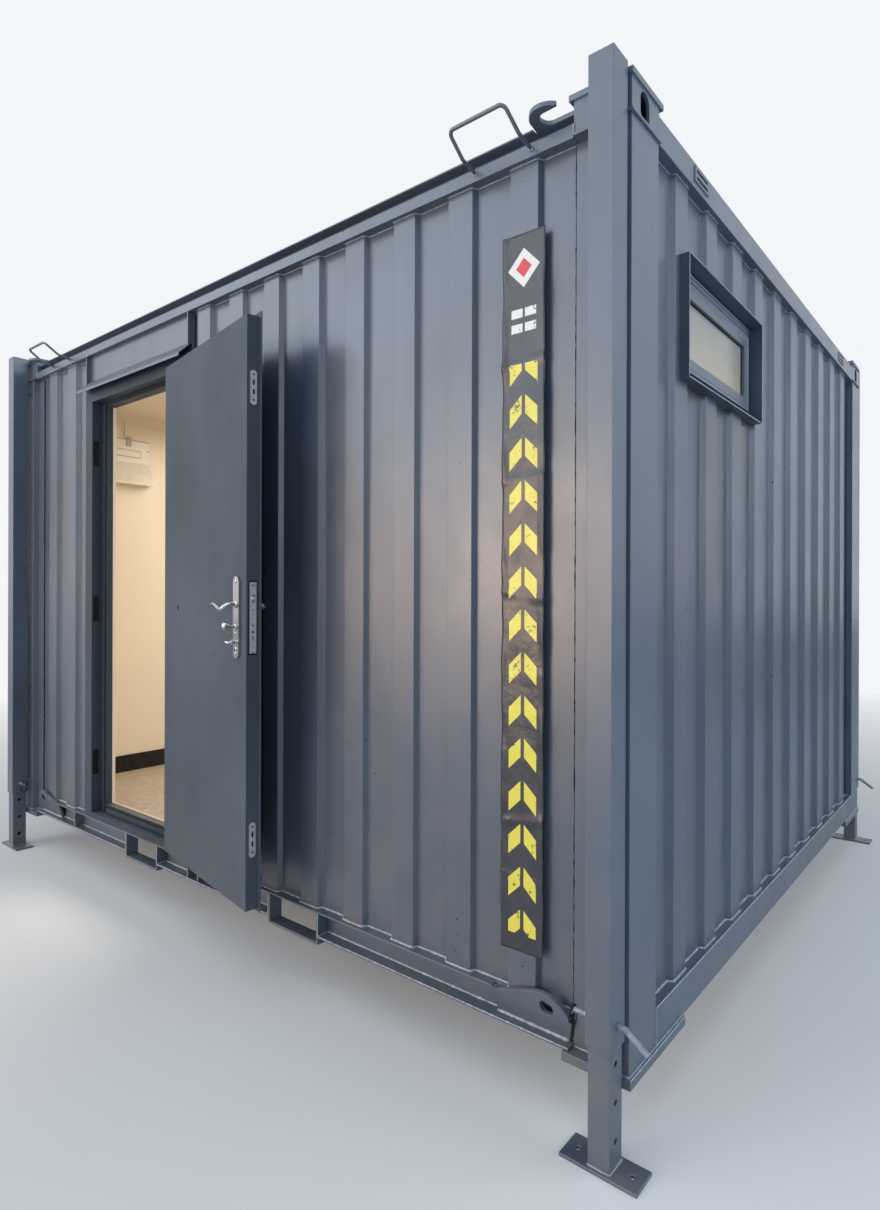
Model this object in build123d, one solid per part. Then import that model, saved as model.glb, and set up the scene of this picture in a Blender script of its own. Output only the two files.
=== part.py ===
from build123d import *
import math
import os

# Portable site cabin on four telescopic legs. Millimetres, +Z up, ground at Z 0, long walls along X,
# the doorway in the wall that faces -Y and the window in the end wall that faces +X.

# Overall sizes
LENGTH = 3800.0
WIDTH = 2740.0
HALF_L = LENGTH / 2
HALF_W = WIDTH / 2
FRONT = -HALF_W
FOOT_BOTTOM = 176.0
FRAME_BOTTOM = 200.0
LONG_SILL_TOP = 290.0
END_SILL_TOP = 300.0
HEAD_BOTTOM = 2567.0
END_HEAD_TOP = 2640.0
CASTING_TOP = 2660.0
CAP_TOP = 2676.0

# Wall build-up, measured inward from the posts' outer faces
SKIN_T = 2.0
CREST_IN = 17.0
RIB_DEPTH = 17.0
RECESS_IN = CREST_IN + RIB_DEPTH
LINING_IN = RECESS_IN + SKIN_T
WALL_T = 82.0

# Ribs of the pressed wall sheets
LONG_PITCH = 233.4
LONG_CREST = 93.0
END_PITCH = 231.2
END_CREST = 85.0
RIB_RUN = 10.0
LAST_RIB_FROM_END = 293.0
LEFT_RIB_FROM_DOOR = 160.0
FIRST_RIB_FROM_FRONT = 296.0

# Corner posts, castings and foot plates
POST_T = 5.0
POST_FRONT = 177.0
POST_CORNER = 112.0
POST_BEND = 6.0
POST_STEP = RECESS_IN - POST_T
POST_END = 148.0
SHEET_STOP = 13.0
CAST_A = 168.0
CAST_B = 153.0
CAST_WALL = 10.0
CAP_OUT = 5.0
CAP_IN_X = 13.0
CAP_IN_Y = 15.0
LEDGE_OUT = 7.0
LEDGE_T = 7.0
OVAL_IN = 70.0
OVAL_Z = 2613.0
OVAL_W = 78.0
OVAL_H = 50.0
FOOT_X = 193.0
FOOT_Y = 323.0
FOOT_OUT = 8.0

# Sills, fork pockets and floor beams
SILL_DEPTH = 50.0
SILL_T = 6.0
END_SILL_T = 4.0
POCKET_X = 555.0
POCKET_W = 286.0
POCKET_BOTTOM = 176.0
POCKET_TOP = LONG_SILL_TOP - SILL_T
POCKET_WALL = 8.0
STIFFENER_T = 10.0
STIFFENER_IN = 4.0
STIFFENER_FROM_END = 644.0
STIFFENER_PAIR = (-164.0, -86.0)
BEAM_W = 50.0
BEAM_T = 5.0
BEAM_FROM_END = 400.0
BEAM_OUT_OF_POCKET = 505.0
BEAM_INSIDE_POCKET = 305.0

# Lashing lugs
LUG_FROM_END = 432.0
LUG_NOTCH = 22.0
LUG_FOOT_IN = 30.0
LUG_T = 12.0
LUG_LEAN = 17.0
LUG_EYE_X = 182.0
LUG_EYE_Z = 82.0
LUG_EYE_R = 22.0

# Roof edge, roof, hooks and rod loops
HEAD_T = 5.0
HEAD_FLANGE = 75.0
BAND_TOP = 2602.0
WEB_IN = 35.0
EDGE_BOTTOM = 2634.0
EDGE_T = 4.0
ROOF_RIB = 14.0
ROOF_CREST = 60.0
ROOF_RUN = 20.0
ROOF_RIB_FROM_END = 120.0
TAB_Y_FROM_FRONT = 438.0
TAB_W = 104.0
TAB_T = 4.0
TAB_BOTTOM = 2586.0
TAB_TOP = 2630.0
HOOK_FROM_END = 236.0
HOOK_OUT = 14.5
HOOK_T = 12.0
HOOK_JAW = 25.0
LOOP_R = 5.5
LOOP_FOOT = 97.5
LOOP_TOP = 94.5
LOOP_OUT = 117.0
LOOP_BEND = 18.0
RIGHT_LOOP_FROM_END = 402.5
LEFT_LOOP_FROM_END = 490.0

# Floor and ceiling
DECK_BOTTOM = 282.0
DECK_TOP = 302.0
FLOOR_TOP = 305.0
SKIRT_H = 100.0
SKIRT_T = 12.0
CEILING_BOTTOM = 2490.0
CEILING_TOP = 2560.0

# Doorway: the surround, its rebate and the stop behind it
DOOR_LEFT = -1130.0
DOOR_RIGHT = -166.0
REBATE_LEFT = DOOR_LEFT + 72
REBATE_RIGHT = DOOR_RIGHT - 74
REBATE_BOTTOM = 316.0
REBATE_TOP = 2332.0
REBATE_IN = 47.0
STOP_WIDTH = 46.0
STOP_BOTTOM = 350.0
STOP_TOP = 2314.0
SURROUND_TOP = 2400.0
SURROUND_PROUD = 6.0
PANEL_IN = 20.0
PANEL_T = 4.0
PANEL_FLANGE = 6.0
HOOD_TOP = 2447.0
HOOD_TIP = 2384.0
HOOD_LIP = 12.0
HOOD_OUT = 40.0
HOOD_T = 3.0

# Door leaf, hinges and furniture
LEAF_LEFT = REBATE_LEFT + 9
LEAF_RIGHT = REBATE_RIGHT - 6
LEAF_BOTTOM = REBATE_BOTTOM + 8
LEAF_TOP = REBATE_TOP - 8
LEAF_OUT = 8.0
LEAF_SKIN = 3.0
LEAF_T = 45.0
LEAF_LIP = 16.0
LEAF_SKIRT = 12.0
HINGE_X = LEAF_RIGHT + 13
HINGE_OUT = 10.8
DOOR_OPEN = 170.8
HINGE_Z = (560.0, 1320.0, 2080.0)
OVAL_PLATE_Z = (560.0, 2080.0)
KEEP_Z = (560.0, 1316.0, 2080.0)
KNUCKLE_R = 8.0
KNUCKLE_H = 50.0
SPINDLE_FROM_EDGE = 67.0
SPINDLE_Z = 1352.0
SPINDLE_R = 5.0
LEVER_R = 8.0
LEVER_LENGTH = 122.0
LEVER_STAND = 42.0
PLATE_T = 8.0
LOCK_Z = 1307.0
LATCH_OUT = 4.0
KNOB_Z = 1275.0
TURN_Z = 1224.0

# Window
WIN_FROM_FRONT = 330.0
WIN_W = 654.0
WIN_BOTTOM = 2003.0
WIN_TOP = 2356.0
WIN_SHEET = 3.0
WIN_OUT = 11.0
WIN_REVEAL = 36.0
WIN_FRAME_SIDE = 22.0
WIN_FRAME_RAIL = 42.0
WIN_SASH = 42.0
WIN_SASH_PROUD = 4.0
WIN_PANE_IN = 44.0
WIN_PANE_T = 6.0

# Legs
LEG_FROM_END = 41.0
LEG_GAP = 11.5
LEG_OUT = 70.0
LEG_WALL = 4.9
LEG_IN = 60.0
LEG_IN_WALL = 5.0
LEG_BOTTOM = 296.0
LEG_TOP = 2685.0
LEG_IN_TOP = 1200.0
BASE_X = 214.0
BASE_Y = 80.0
BASE_T = 8.0
BASE_HOLES = 152.0
BASE_HOLE_R = 7.0
LEG_HOLE_FIRST = 71.0
LEG_HOLE_PITCH = 93.0
LEG_HOLES = 12
LEG_HOLE_R = 8.0
PIN_R = 7.4
PIN_HOLE = 3
BRACKET_W = 50.0
BRACKET_H = 62.0
LOW_BRACKET_Z = 300.0
HIGH_BRACKET_Z = 2499.0

# Wall unit inside and the strip on the front ribs
UNIT_FROM_FRONT = 212.0
UNIT_W = 420.0
UNIT_BOTTOM = 2062.0
UNIT_LIP = 8.0
UNIT_SHOULDER = 2200.0
UNIT_TOP = 2342.0
UNIT_OUT = 73.0
UNIT_RIM = 6.0
CONDUIT_FROM_FRONT = 488.0
CONDUIT_W = 8.0
BANNER_FROM_END = 267.0
BANNER_W = 143.0
BANNER_BOTTOM = 403.0
BANNER_TOP = 2378.0

os.makedirs("parts", exist_ok=True)


def block(x0, x1, y0, y1, z0, z1):
    """A box between two corners."""
    return Pos((x0 + x1) / 2, (y0 + y1) / 2, (z0 + z1) / 2) * Box(abs(x1 - x0), abs(y1 - y0), abs(z1 - z0))


def flat(points):
    """A flat face from its corner points."""
    return make_face(Polyline(*points, close=True))


def upright(points, z0, z1):
    """A prism that stands on an outline in plan."""
    return Pos(0, 0, z0) * extrude(flat(points), z1 - z0)


def along_x(points, x0, x1):
    """A prism along X from an outline in Y and Z."""
    return Pos(x0, 0, 0) * extrude(Plane.YZ * flat(points), x1 - x0)


def along_y(points, y0, y1):
    """A prism along Y from an outline in X and Z."""
    return Pos(0, y1, 0) * extrude(Plane.XZ * flat(points), y1 - y0)


def rod_x(x0, x1, y, z, r):
    """A round bar along X."""
    return Pos((x0 + x1) / 2, y, z) * Rot(0, 90, 0) * Cylinder(r, x1 - x0)


def rod_y(x, y0, y1, z, r):
    """A round bar along Y."""
    return Pos(x, (y0 + y1) / 2, z) * Rot(90, 0, 0) * Cylinder(r, y1 - y0)


def bent_rod(points, r, bend):
    """A round rod bent at each inner point."""
    path = FilletPolyline(*points, radius=bend)
    start = Plane(origin=path @ 0, z_dir=path % 0)
    return sweep(start * Circle(r), path=path)


def folded(path, t):
    """The closed outline of a folded plate whose outer line is the path, with its thickness to the left."""
    inner = []
    for i, (x, y) in enumerate(path):
        normals = []
        for a, b in ((i - 1, i), (i, i + 1)):
            if a < 0 or b >= len(path):
                continue
            dx = path[b][0] - path[a][0]
            dy = path[b][1] - path[a][1]
            size = math.hypot(dx, dy)
            normals.append((-dy / size, dx / size))
        nx = sum(n[0] for n in normals) / len(normals)
        ny = sum(n[1] for n in normals) / len(normals)
        scale = t / (nx * nx + ny * ny)
        inner.append((x + nx * scale, y + ny * scale))
    return list(path) + inner[::-1]


def ribs(low, high, edge, pitch, crest, run):
    """The left edges of all crests that fit between two limits, in step with the crest that starts at edge."""
    first = edge - math.floor((edge - run - low) / pitch) * pitch
    count = math.floor((high - run - crest - first) / pitch) + 1
    return [first + i * pitch for i in range(count)]


def ribbed(start, end, edges, crest, crest_level, recess_level, run):
    """The outer line of a pressed sheet: proud crests between flat recesses."""
    line = [(start, recess_level)]
    for left in edges:
        line.append((left - run, recess_level))
        line.append((left, crest_level))
        line.append((left + crest, crest_level))
        line.append((left + crest + run, recess_level))
    line.append((end, recess_level))
    return line


def mirror_x(shape):
    return mirror(shape, about=Plane.YZ)


def mirror_y(shape):
    return mirror(shape, about=Plane.XZ)


def four(shape):
    """The piece at the near right corner and its mirrored copies at the other three."""
    return [shape, mirror_x(shape), mirror_y(shape), mirror_x(mirror_y(shape))]


def save(name, solids):
    """Write the solids of one named node."""
    pieces = solids if isinstance(solids, list) else [solids]
    bodies = [s for p in pieces for s in p.solids()]
    export_step(Compound(children=bodies) if len(bodies) > 1 else bodies[0], "parts/" + name + ".step")


# Corner frame
# Each post is one folded section, its casting a hollow box with an overhanging cap and a ledge.
def corner(points):
    """Turn distances in from the end face and the long face into X and Y at the near right corner."""
    return [(HALF_L - a, FRONT + b) for a, b in points]


post_line = corner([
    (POST_FRONT, POST_STEP), (POST_CORNER + POST_BEND, POST_STEP), (POST_CORNER, 0),
    (0, 0), (0, POST_END), (RECESS_IN, POST_END)])
post = upright(folded(post_line, POST_T), FRAME_BOTTOM, HEAD_BOTTOM)
save("corner_posts", four(post))

HEAD_END = HALF_L - CAST_A
CAP_END = HEAD_END - CAP_IN_X
CAP_BACK = FRONT + CAST_B + CAP_IN_Y
casting = block(HEAD_END, HALF_L, FRONT, FRONT + CAST_B, HEAD_BOTTOM + LEDGE_T, CASTING_TOP)
casting -= block(
    HEAD_END + CAST_WALL, HALF_L - CAST_WALL, FRONT + CAST_WALL, FRONT + CAST_B - CAST_WALL,
    HEAD_BOTTOM, CASTING_TOP)
casting -= Pos(HALF_L, FRONT + OVAL_IN, OVAL_Z) * Rot(0, 90, 0) * extrude(
    SlotOverall(OVAL_W, OVAL_H), 2 * CAST_WALL, both=True)
casting += block(CAP_END, HALF_L + CAP_OUT, FRONT - CAP_OUT, CAP_BACK, CASTING_TOP, CAP_TOP)
casting += block(
    HEAD_END, HALF_L + LEDGE_OUT, FRONT - LEDGE_OUT, FRONT + CAST_B, HEAD_BOTTOM, HEAD_BOTTOM + LEDGE_T)
save("corner_castings", four(casting))

foot = block(
    HALF_L - FOOT_X, HALF_L + FOOT_OUT, FRONT - FOOT_OUT, FRONT + FOOT_Y, FOOT_BOTTOM, FRAME_BOTTOM)
save("corner_foot_plates", four(foot))

# Sills: a channel with the fork pockets cut through it on the long sides, a tube at the ends
SILL_END = HALF_L - POST_FRONT
LUG_LEFT = HALF_L - LUG_FROM_END
sill_line = [
    (FRONT, LONG_SILL_TOP), (FRONT + SILL_DEPTH, LONG_SILL_TOP), (FRONT + SILL_DEPTH, FRAME_BOTTOM),
    (FRONT, FRAME_BOTTOM)]
long_sill = along_x(folded(sill_line[::-1], SILL_T), -SILL_END, SILL_END)
for side in (-1, 1):
    long_sill -= block(
        side * POCKET_X - POCKET_W / 2, side * POCKET_X + POCKET_W / 2,
        FRONT - 1, FRONT + SILL_DEPTH + 1, FRAME_BOTTOM - 1, POCKET_TOP)
    long_sill -= block(
        side * LUG_LEFT, side * (SILL_END + 1), FRONT - 1, FRONT + LUG_NOTCH,
        LONG_SILL_TOP - SILL_T - 1, LONG_SILL_TOP + 1)
for x in (-(HALF_L - STIFFENER_FROM_END), *STIFFENER_PAIR):
    long_sill += block(
        x - STIFFENER_T / 2, x + STIFFENER_T / 2, FRONT + STIFFENER_IN, FRONT + SILL_DEPTH - SILL_T,
        FRAME_BOTTOM + SILL_T, LONG_SILL_TOP - SILL_T)

END_SILL_Y = HALF_W - POST_END
END_IN = HALF_L - SILL_DEPTH
end_sill = block(END_IN, HALF_L, -END_SILL_Y, END_SILL_Y, FRAME_BOTTOM, END_SILL_TOP)
end_sill -= block(
    END_IN + END_SILL_T, HALF_L - END_SILL_T, -END_SILL_Y, END_SILL_Y,
    FRAME_BOTTOM + END_SILL_T, END_SILL_TOP - END_SILL_T)
save("sills", [long_sill, mirror_y(long_sill), end_sill, mirror_x(end_sill)])

pocket = block(
    POCKET_X - POCKET_W / 2, POCKET_X + POCKET_W / 2, FRONT, FRONT + SILL_DEPTH, POCKET_BOTTOM, POCKET_TOP)
pocket -= block(
    POCKET_X - POCKET_W / 2 + POCKET_WALL, POCKET_X + POCKET_W / 2 - POCKET_WALL,
    FRONT, FRONT + SILL_DEPTH, POCKET_BOTTOM + POCKET_WALL, POCKET_TOP)
save("fork_pockets", four(pocket))

beams = []
for place in (POCKET_X - BEAM_INSIDE_POCKET, POCKET_X + BEAM_OUT_OF_POCKET, HALF_L - BEAM_FROM_END):
    for x in (-place, place):
        left = x - BEAM_W / 2
        right = x + BEAM_W / 2
        beam = block(left, right, FRONT + SILL_DEPTH, -FRONT - SILL_DEPTH, FRAME_BOTTOM, DECK_BOTTOM)
        beam -= block(left + BEAM_T, right, FRONT, -FRONT, FRAME_BOTTOM + BEAM_T, DECK_BOTTOM - BEAM_T)
        beams.append(beam)
save("floor_beams", beams)

# Lashing lugs: thick leaning plates with a rounded nose and an eye, one near each end of both sills
lug_foot = (243, 0)
lug_side = (257, 58)
lug_back = (154, 124)
lug_edge = Polyline(lug_back, (0, 73), (0, 0), lug_foot, lug_side)
lug_edge += ThreePointArc(lug_side, (229, 105), lug_back)
lug = Pos(0, LUG_T, 0) * extrude(Plane.XZ * make_face(lug_edge), LUG_T)
lug -= rod_y(LUG_EYE_X, -1, LUG_T + 1, LUG_EYE_Z, LUG_EYE_R)
lug = Pos(LUG_LEFT, FRONT + LUG_FOOT_IN, FRAME_BOTTOM + SILL_T) * Rot(LUG_LEAN, 0, 0) * lug
lug -= block(LUG_LEFT - 1, HALF_L, FRONT, FRONT + SILL_DEPTH, FRAME_BOTTOM, FRAME_BOTTOM + SILL_T)
save("lashing_lugs", four(lug))

# Head rails: a band and a set-back web under a thin roof edge along the sides, a tube at the ends
HOOK_X = HALF_L - HOOK_FROM_END
HOOK_LEFT = HOOK_X - 64
head_line = [
    (FRONT + WEB_IN, EDGE_BOTTOM), (FRONT + WEB_IN, BAND_TOP), (FRONT, BAND_TOP), (FRONT, HEAD_BOTTOM),
    (FRONT + HEAD_FLANGE, HEAD_BOTTOM)]
head = along_x(folded(head_line, HEAD_T), -HEAD_END, HEAD_END)
head += block(-HOOK_LEFT, HOOK_LEFT, FRONT, FRONT + HEAD_FLANGE, EDGE_BOTTOM, EDGE_BOTTOM + EDGE_T)

END_HEAD_Y = HALF_W - CAST_B
end_head = block(END_IN, HALF_L, -END_HEAD_Y, END_HEAD_Y, HEAD_BOTTOM, END_HEAD_TOP)
end_head -= block(
    END_IN + END_SILL_T, HALF_L - END_SILL_T, -END_HEAD_Y, END_HEAD_Y,
    HEAD_BOTTOM + END_SILL_T, END_HEAD_TOP - END_SILL_T)
for y in (FRONT + TAB_Y_FROM_FRONT, -FRONT - TAB_Y_FROM_FRONT):
    tab = block(HALF_L, HALF_L + TAB_T, y - TAB_W / 2, y + TAB_W / 2, TAB_BOTTOM, TAB_TOP)
    for z in (TAB_BOTTOM + 12, TAB_TOP - 12):
        tab -= Pos(HALF_L + TAB_T, y, z) * extrude(Plane.YZ * SlotOverall(TAB_W - 20, 9), TAB_T, both=True)
    end_head += tab
save("head_rails", [head, mirror_y(head), end_head, mirror_x(end_head)])

# Roof sheet between the rails, its crests under the roof edge
roof_edges = ribs(-END_IN, END_IN, -HALF_L + ROOF_RIB_FROM_END, LONG_PITCH, ROOF_CREST, ROOF_RUN)
roof_line = ribbed(-END_IN, END_IN, roof_edges, ROOF_CREST, EDGE_BOTTOM, EDGE_BOTTOM - ROOF_RIB, ROOF_RUN)
ROOF_Y = HALF_W - WEB_IN - HEAD_T
roof = along_y(folded(roof_line[::-1], SKIN_T), -ROOF_Y, ROOF_Y)
for notch in four(block(CAP_END, HALF_L, FRONT, CAP_BACK, HEAD_BOTTOM, CAP_TOP)):
    roof -= notch
save("roof_sheet", roof)

# Lifting hooks: flat plates on the roof edge beside each casting, each open towards the casting
HOOK_Y = FRONT - HOOK_OUT
jaw_in = HOOK_Y + HOOK_JAW
jaw_out = HOOK_Y - HOOK_JAW
hook_top = (HOOK_X - 4, HOOK_Y - 49)
hook_side = (HOOK_X - 55, HOOK_Y + 2)
hook_edge = ThreePointArc((HOOK_X, jaw_in), (HOOK_X - HOOK_JAW, HOOK_Y), (HOOK_X, jaw_out))
hook_edge += Polyline((HOOK_X, jaw_out), (HOOK_X + 41, jaw_out - 1.5), (HOOK_X + 41, jaw_out - 6.5))
hook_edge += ThreePointArc((HOOK_X + 41, jaw_out - 6.5), (HOOK_X + 20, jaw_out - 19.5), hook_top)
hook_edge += ThreePointArc(hook_top, (HOOK_X - 40.4, HOOK_Y - 34), hook_side)
hook_edge += Polyline(
    hook_side, (HOOK_LEFT, FRONT + WEB_IN), (HOOK_LEFT, FRONT + HEAD_FLANGE), (HEAD_END, FRONT + HEAD_FLANGE),
    (HEAD_END, jaw_in), (HOOK_X, jaw_in))
hook = Pos(0, 0, EDGE_BOTTOM) * extrude(make_face(hook_edge), HOOK_T)
save("lifting_hooks", four(hook))


def rod_loop(x):
    """A bent rod that stands out from the band of the roof edge."""
    points = [
        (x - LOOP_FOOT, FRONT + 10, 2587), (x - LOOP_FOOT, FRONT - 55, 2600),
        (x - LOOP_TOP, FRONT - LOOP_OUT, 2645), (x + LOOP_TOP, FRONT - LOOP_OUT, 2645),
        (x + LOOP_FOOT, FRONT - 55, 2600), (x + LOOP_FOOT, FRONT + 10, 2587)]
    rod = bent_rod(points, LOOP_R, LOOP_BEND)
    return rod - block(x - 2 * LOOP_FOOT, x + 2 * LOOP_FOOT, FRONT, FRONT + 50, HEAD_BOTTOM, CAP_TOP)


loops = []
for x in (HALF_L - RIGHT_LOOP_FROM_END, LEFT_LOOP_FROM_END - HALF_L):
    loops.append(rod_loop(x))
    loops.append(mirror_y(rod_loop(x)))
save("roof_rod_loops", loops)

# Pressed wall sheets
SHEET_END = HALF_L - POST_CORNER - SHEET_STOP
SHEET_SIDE = HALF_W - POST_CORNER - SHEET_STOP
CREST_Y = FRONT + CREST_IN
RECESS_Y = FRONT + RECESS_IN


def long_sheet(x0, x1, low, high, edge):
    """A ribbed sheet of the front wall, from sill to head, with its ribs between low and high."""
    edges = ribs(low, high, edge, LONG_PITCH, LONG_CREST, RIB_RUN)
    line = ribbed(x0, x1, edges, LONG_CREST, CREST_Y, RECESS_Y, RIB_RUN)
    return upright(folded(line, SKIN_T), LONG_SILL_TOP, HEAD_BOTTOM)


last_edge = HALF_L - LAST_RIB_FROM_END - LONG_CREST
left_edge = DOOR_LEFT - LEFT_RIB_FROM_DOOR - LONG_CREST
save("front_sheets", [
    long_sheet(DOOR_RIGHT, SHEET_END, DOOR_RIGHT, SILL_END, last_edge),
    long_sheet(-SHEET_END, DOOR_LEFT, -SILL_END, DOOR_LEFT, left_edge)])
save("rear_sheet", mirror_y(long_sheet(-SHEET_END, SHEET_END, -SILL_END, SILL_END, last_edge)))

WIN_LEFT = FRONT + WIN_FROM_FRONT
WIN_RIGHT = WIN_LEFT + WIN_W
end_edges = ribs(-END_SILL_Y, END_SILL_Y, FRONT + FIRST_RIB_FROM_FRONT, END_PITCH, END_CREST, RIB_RUN)
end_line = ribbed(-SHEET_SIDE, SHEET_SIDE, end_edges, END_CREST, CREST_IN, RECESS_IN, RIB_RUN)
end_path = [(HALF_L - v, u) for u, v in end_line]
end_sheet = upright(folded(end_path, SKIN_T), END_SILL_TOP, HEAD_BOTTOM)
window_gap = block(HALF_L - LINING_IN, HALF_L, WIN_LEFT, WIN_RIGHT, WIN_BOTTOM, WIN_TOP)
save("window_end_sheet", end_sheet - window_gap)
save("plain_end_sheet", mirror_x(end_sheet))

# Insulated linings behind the sheets
LIN_OUT_Y = FRONT + LINING_IN
LIN_IN_Y = FRONT + WALL_T
LIN_END_X = HALF_L - LINING_IN
END_LIN_IN = HALF_L - WALL_T
lining_left = block(-LIN_END_X, DOOR_LEFT, LIN_OUT_Y, LIN_IN_Y, DECK_TOP, CEILING_BOTTOM)
lining_right = block(DOOR_RIGHT, LIN_END_X, LIN_OUT_Y, LIN_IN_Y, DECK_TOP, CEILING_BOTTOM)
save("front_linings", [lining_left, lining_right])
save("lining_over_door", block(DOOR_LEFT, DOOR_RIGHT, LIN_OUT_Y, LIN_IN_Y, SURROUND_TOP, CEILING_BOTTOM))
save("rear_lining", block(-LIN_END_X, LIN_END_X, -LIN_IN_Y, -LIN_OUT_Y, DECK_TOP, CEILING_BOTTOM))
end_lining = block(END_LIN_IN, LIN_END_X, LIN_IN_Y, -LIN_IN_Y, DECK_TOP, CEILING_BOTTOM)
lining_gap = block(END_LIN_IN, LIN_END_X, WIN_LEFT, WIN_RIGHT, WIN_BOTTOM, WIN_TOP)
save("window_end_lining", end_lining - lining_gap)
save("plain_end_lining", mirror_x(end_lining))

# Floor, skirting and ceiling
save("floor_deck", block(-END_IN, END_IN, FRONT + SILL_DEPTH, -FRONT - SILL_DEPTH, DECK_BOTTOM, DECK_TOP))
JAMB_BACK = LIN_IN_Y + SURROUND_PROUD
covering = block(-END_LIN_IN, END_LIN_IN, LIN_IN_Y, -LIN_IN_Y, DECK_TOP, FLOOR_TOP)
covering -= block(DOOR_LEFT, DOOR_RIGHT, LIN_IN_Y, JAMB_BACK, DECK_TOP, FLOOR_TOP)
save("floor_covering", covering)
skirting = block(-END_LIN_IN, END_LIN_IN, LIN_IN_Y, -LIN_IN_Y, FLOOR_TOP, FLOOR_TOP + SKIRT_H)
skirting -= block(
    -END_LIN_IN + SKIRT_T, END_LIN_IN - SKIRT_T, LIN_IN_Y + SKIRT_T, -LIN_IN_Y - SKIRT_T, DECK_TOP, CEILING_TOP)
skirting -= block(DOOR_LEFT, DOOR_RIGHT, LIN_IN_Y, LIN_IN_Y + SKIRT_T, DECK_TOP, CEILING_TOP)
save("skirting", skirting)
save("ceiling_panel", block(-LIN_END_X, LIN_END_X, LIN_OUT_Y, -LIN_OUT_Y, CEILING_BOTTOM, CEILING_TOP))

# Door surround: jambs, head and threshold with a rebate for the leaf
STOP_LEFT = REBATE_LEFT + STOP_WIDTH
STOP_RIGHT = REBATE_RIGHT - STOP_WIDTH
REBATE_Y = FRONT + REBATE_IN
jamb_left = upright([
    (DOOR_LEFT, FRONT), (REBATE_LEFT, FRONT), (REBATE_LEFT, REBATE_Y), (STOP_LEFT, REBATE_Y),
    (STOP_LEFT, JAMB_BACK), (DOOR_LEFT, JAMB_BACK)], DECK_TOP, SURROUND_TOP)
jamb_left += block(DOOR_LEFT, REBATE_LEFT, FRONT, REBATE_Y - 1, LONG_SILL_TOP, DECK_TOP)
jamb_right = upright([
    (DOOR_RIGHT, FRONT), (DOOR_RIGHT, JAMB_BACK), (STOP_RIGHT, JAMB_BACK), (STOP_RIGHT, REBATE_Y),
    (REBATE_RIGHT, REBATE_Y), (REBATE_RIGHT, FRONT)], DECK_TOP, SURROUND_TOP)
jamb_right += block(REBATE_RIGHT, DOOR_RIGHT, FRONT, REBATE_Y - 1, LONG_SILL_TOP, DECK_TOP)
save("door_jambs", [jamb_left, jamb_right])
lintel = block(REBATE_LEFT, REBATE_RIGHT, FRONT, REBATE_Y, REBATE_TOP, SURROUND_TOP)
lintel += block(STOP_LEFT, STOP_RIGHT, REBATE_Y, JAMB_BACK, STOP_TOP, SURROUND_TOP)
save("door_lintel", lintel)
sill = block(REBATE_LEFT, REBATE_RIGHT, FRONT, REBATE_Y, LONG_SILL_TOP, REBATE_BOTTOM)
sill += block(STOP_LEFT, STOP_RIGHT, REBATE_Y, JAMB_BACK, DECK_TOP, STOP_BOTTOM)
save("door_threshold", sill)

# Set-back panel over the doorway between two flanges, and the hood that slopes out from it
PANEL_Y = FRONT + PANEL_IN
hood_fall = (HOOD_TOP - HOOD_TIP) / (PANEL_IN + HOOD_OUT)
hood_at_front = HOOD_TOP - hood_fall * PANEL_IN
flange_line = [
    (FRONT, HEAD_BOTTOM), (FRONT, hood_at_front), (PANEL_Y, HOOD_TOP), (PANEL_Y, SURROUND_TOP),
    (LIN_OUT_Y, SURROUND_TOP), (LIN_OUT_Y, HEAD_BOTTOM)]
panel = block(DOOR_LEFT, DOOR_RIGHT, PANEL_Y, PANEL_Y + PANEL_T, SURROUND_TOP, HEAD_BOTTOM)
panel += along_x(flange_line, DOOR_LEFT, DOOR_LEFT + PANEL_FLANGE)
panel += along_x(flange_line, DOOR_RIGHT - PANEL_FLANGE, DOOR_RIGHT)
save("over_door_panel", panel)
hood_line = [
    (PANEL_Y + HOOD_T, HOOD_TOP + hood_fall * HOOD_T), (FRONT - HOOD_OUT, HOOD_TIP),
    (FRONT - HOOD_OUT, HOOD_TIP - HOOD_LIP)]
hood = along_x(folded(hood_line, HOOD_T), DOOR_LEFT, DOOR_RIGHT)
hood -= block(DOOR_LEFT, DOOR_RIGHT, PANEL_Y, LIN_OUT_Y, SURROUND_TOP, HEAD_BOTTOM)
save("drip_hood", hood)

# Door leaf, drawn shut and then swung open about its hinge line
HINGE_Y = FRONT - HINGE_OUT
HINGE_AXIS = Axis((HINGE_X, HINGE_Y, 0), (0, 0, 1))


def opened(shape):
    """The piece swung with the leaf to the open pose."""
    return shape.rotate(HINGE_AXIS, DOOR_OPEN)


OUT_Y = FRONT - LEAF_OUT
IN_Y = OUT_Y + LEAF_T
spindle_x = LEAF_LEFT + SPINDLE_FROM_EDGE
leaf = block(LEAF_LEFT, LEAF_RIGHT, OUT_Y, IN_Y, LEAF_BOTTOM, LEAF_TOP)
leaf += block(
    LEAF_LEFT - LEAF_LIP, LEAF_RIGHT, OUT_Y, OUT_Y + LEAF_SKIN, LEAF_BOTTOM - LEAF_SKIRT, LEAF_TOP + LEAF_LIP)
leaf -= rod_y(spindle_x, OUT_Y - 1, IN_Y + 1, SPINDLE_Z, 12)
save("door_leaf", opened(leaf))

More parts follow.
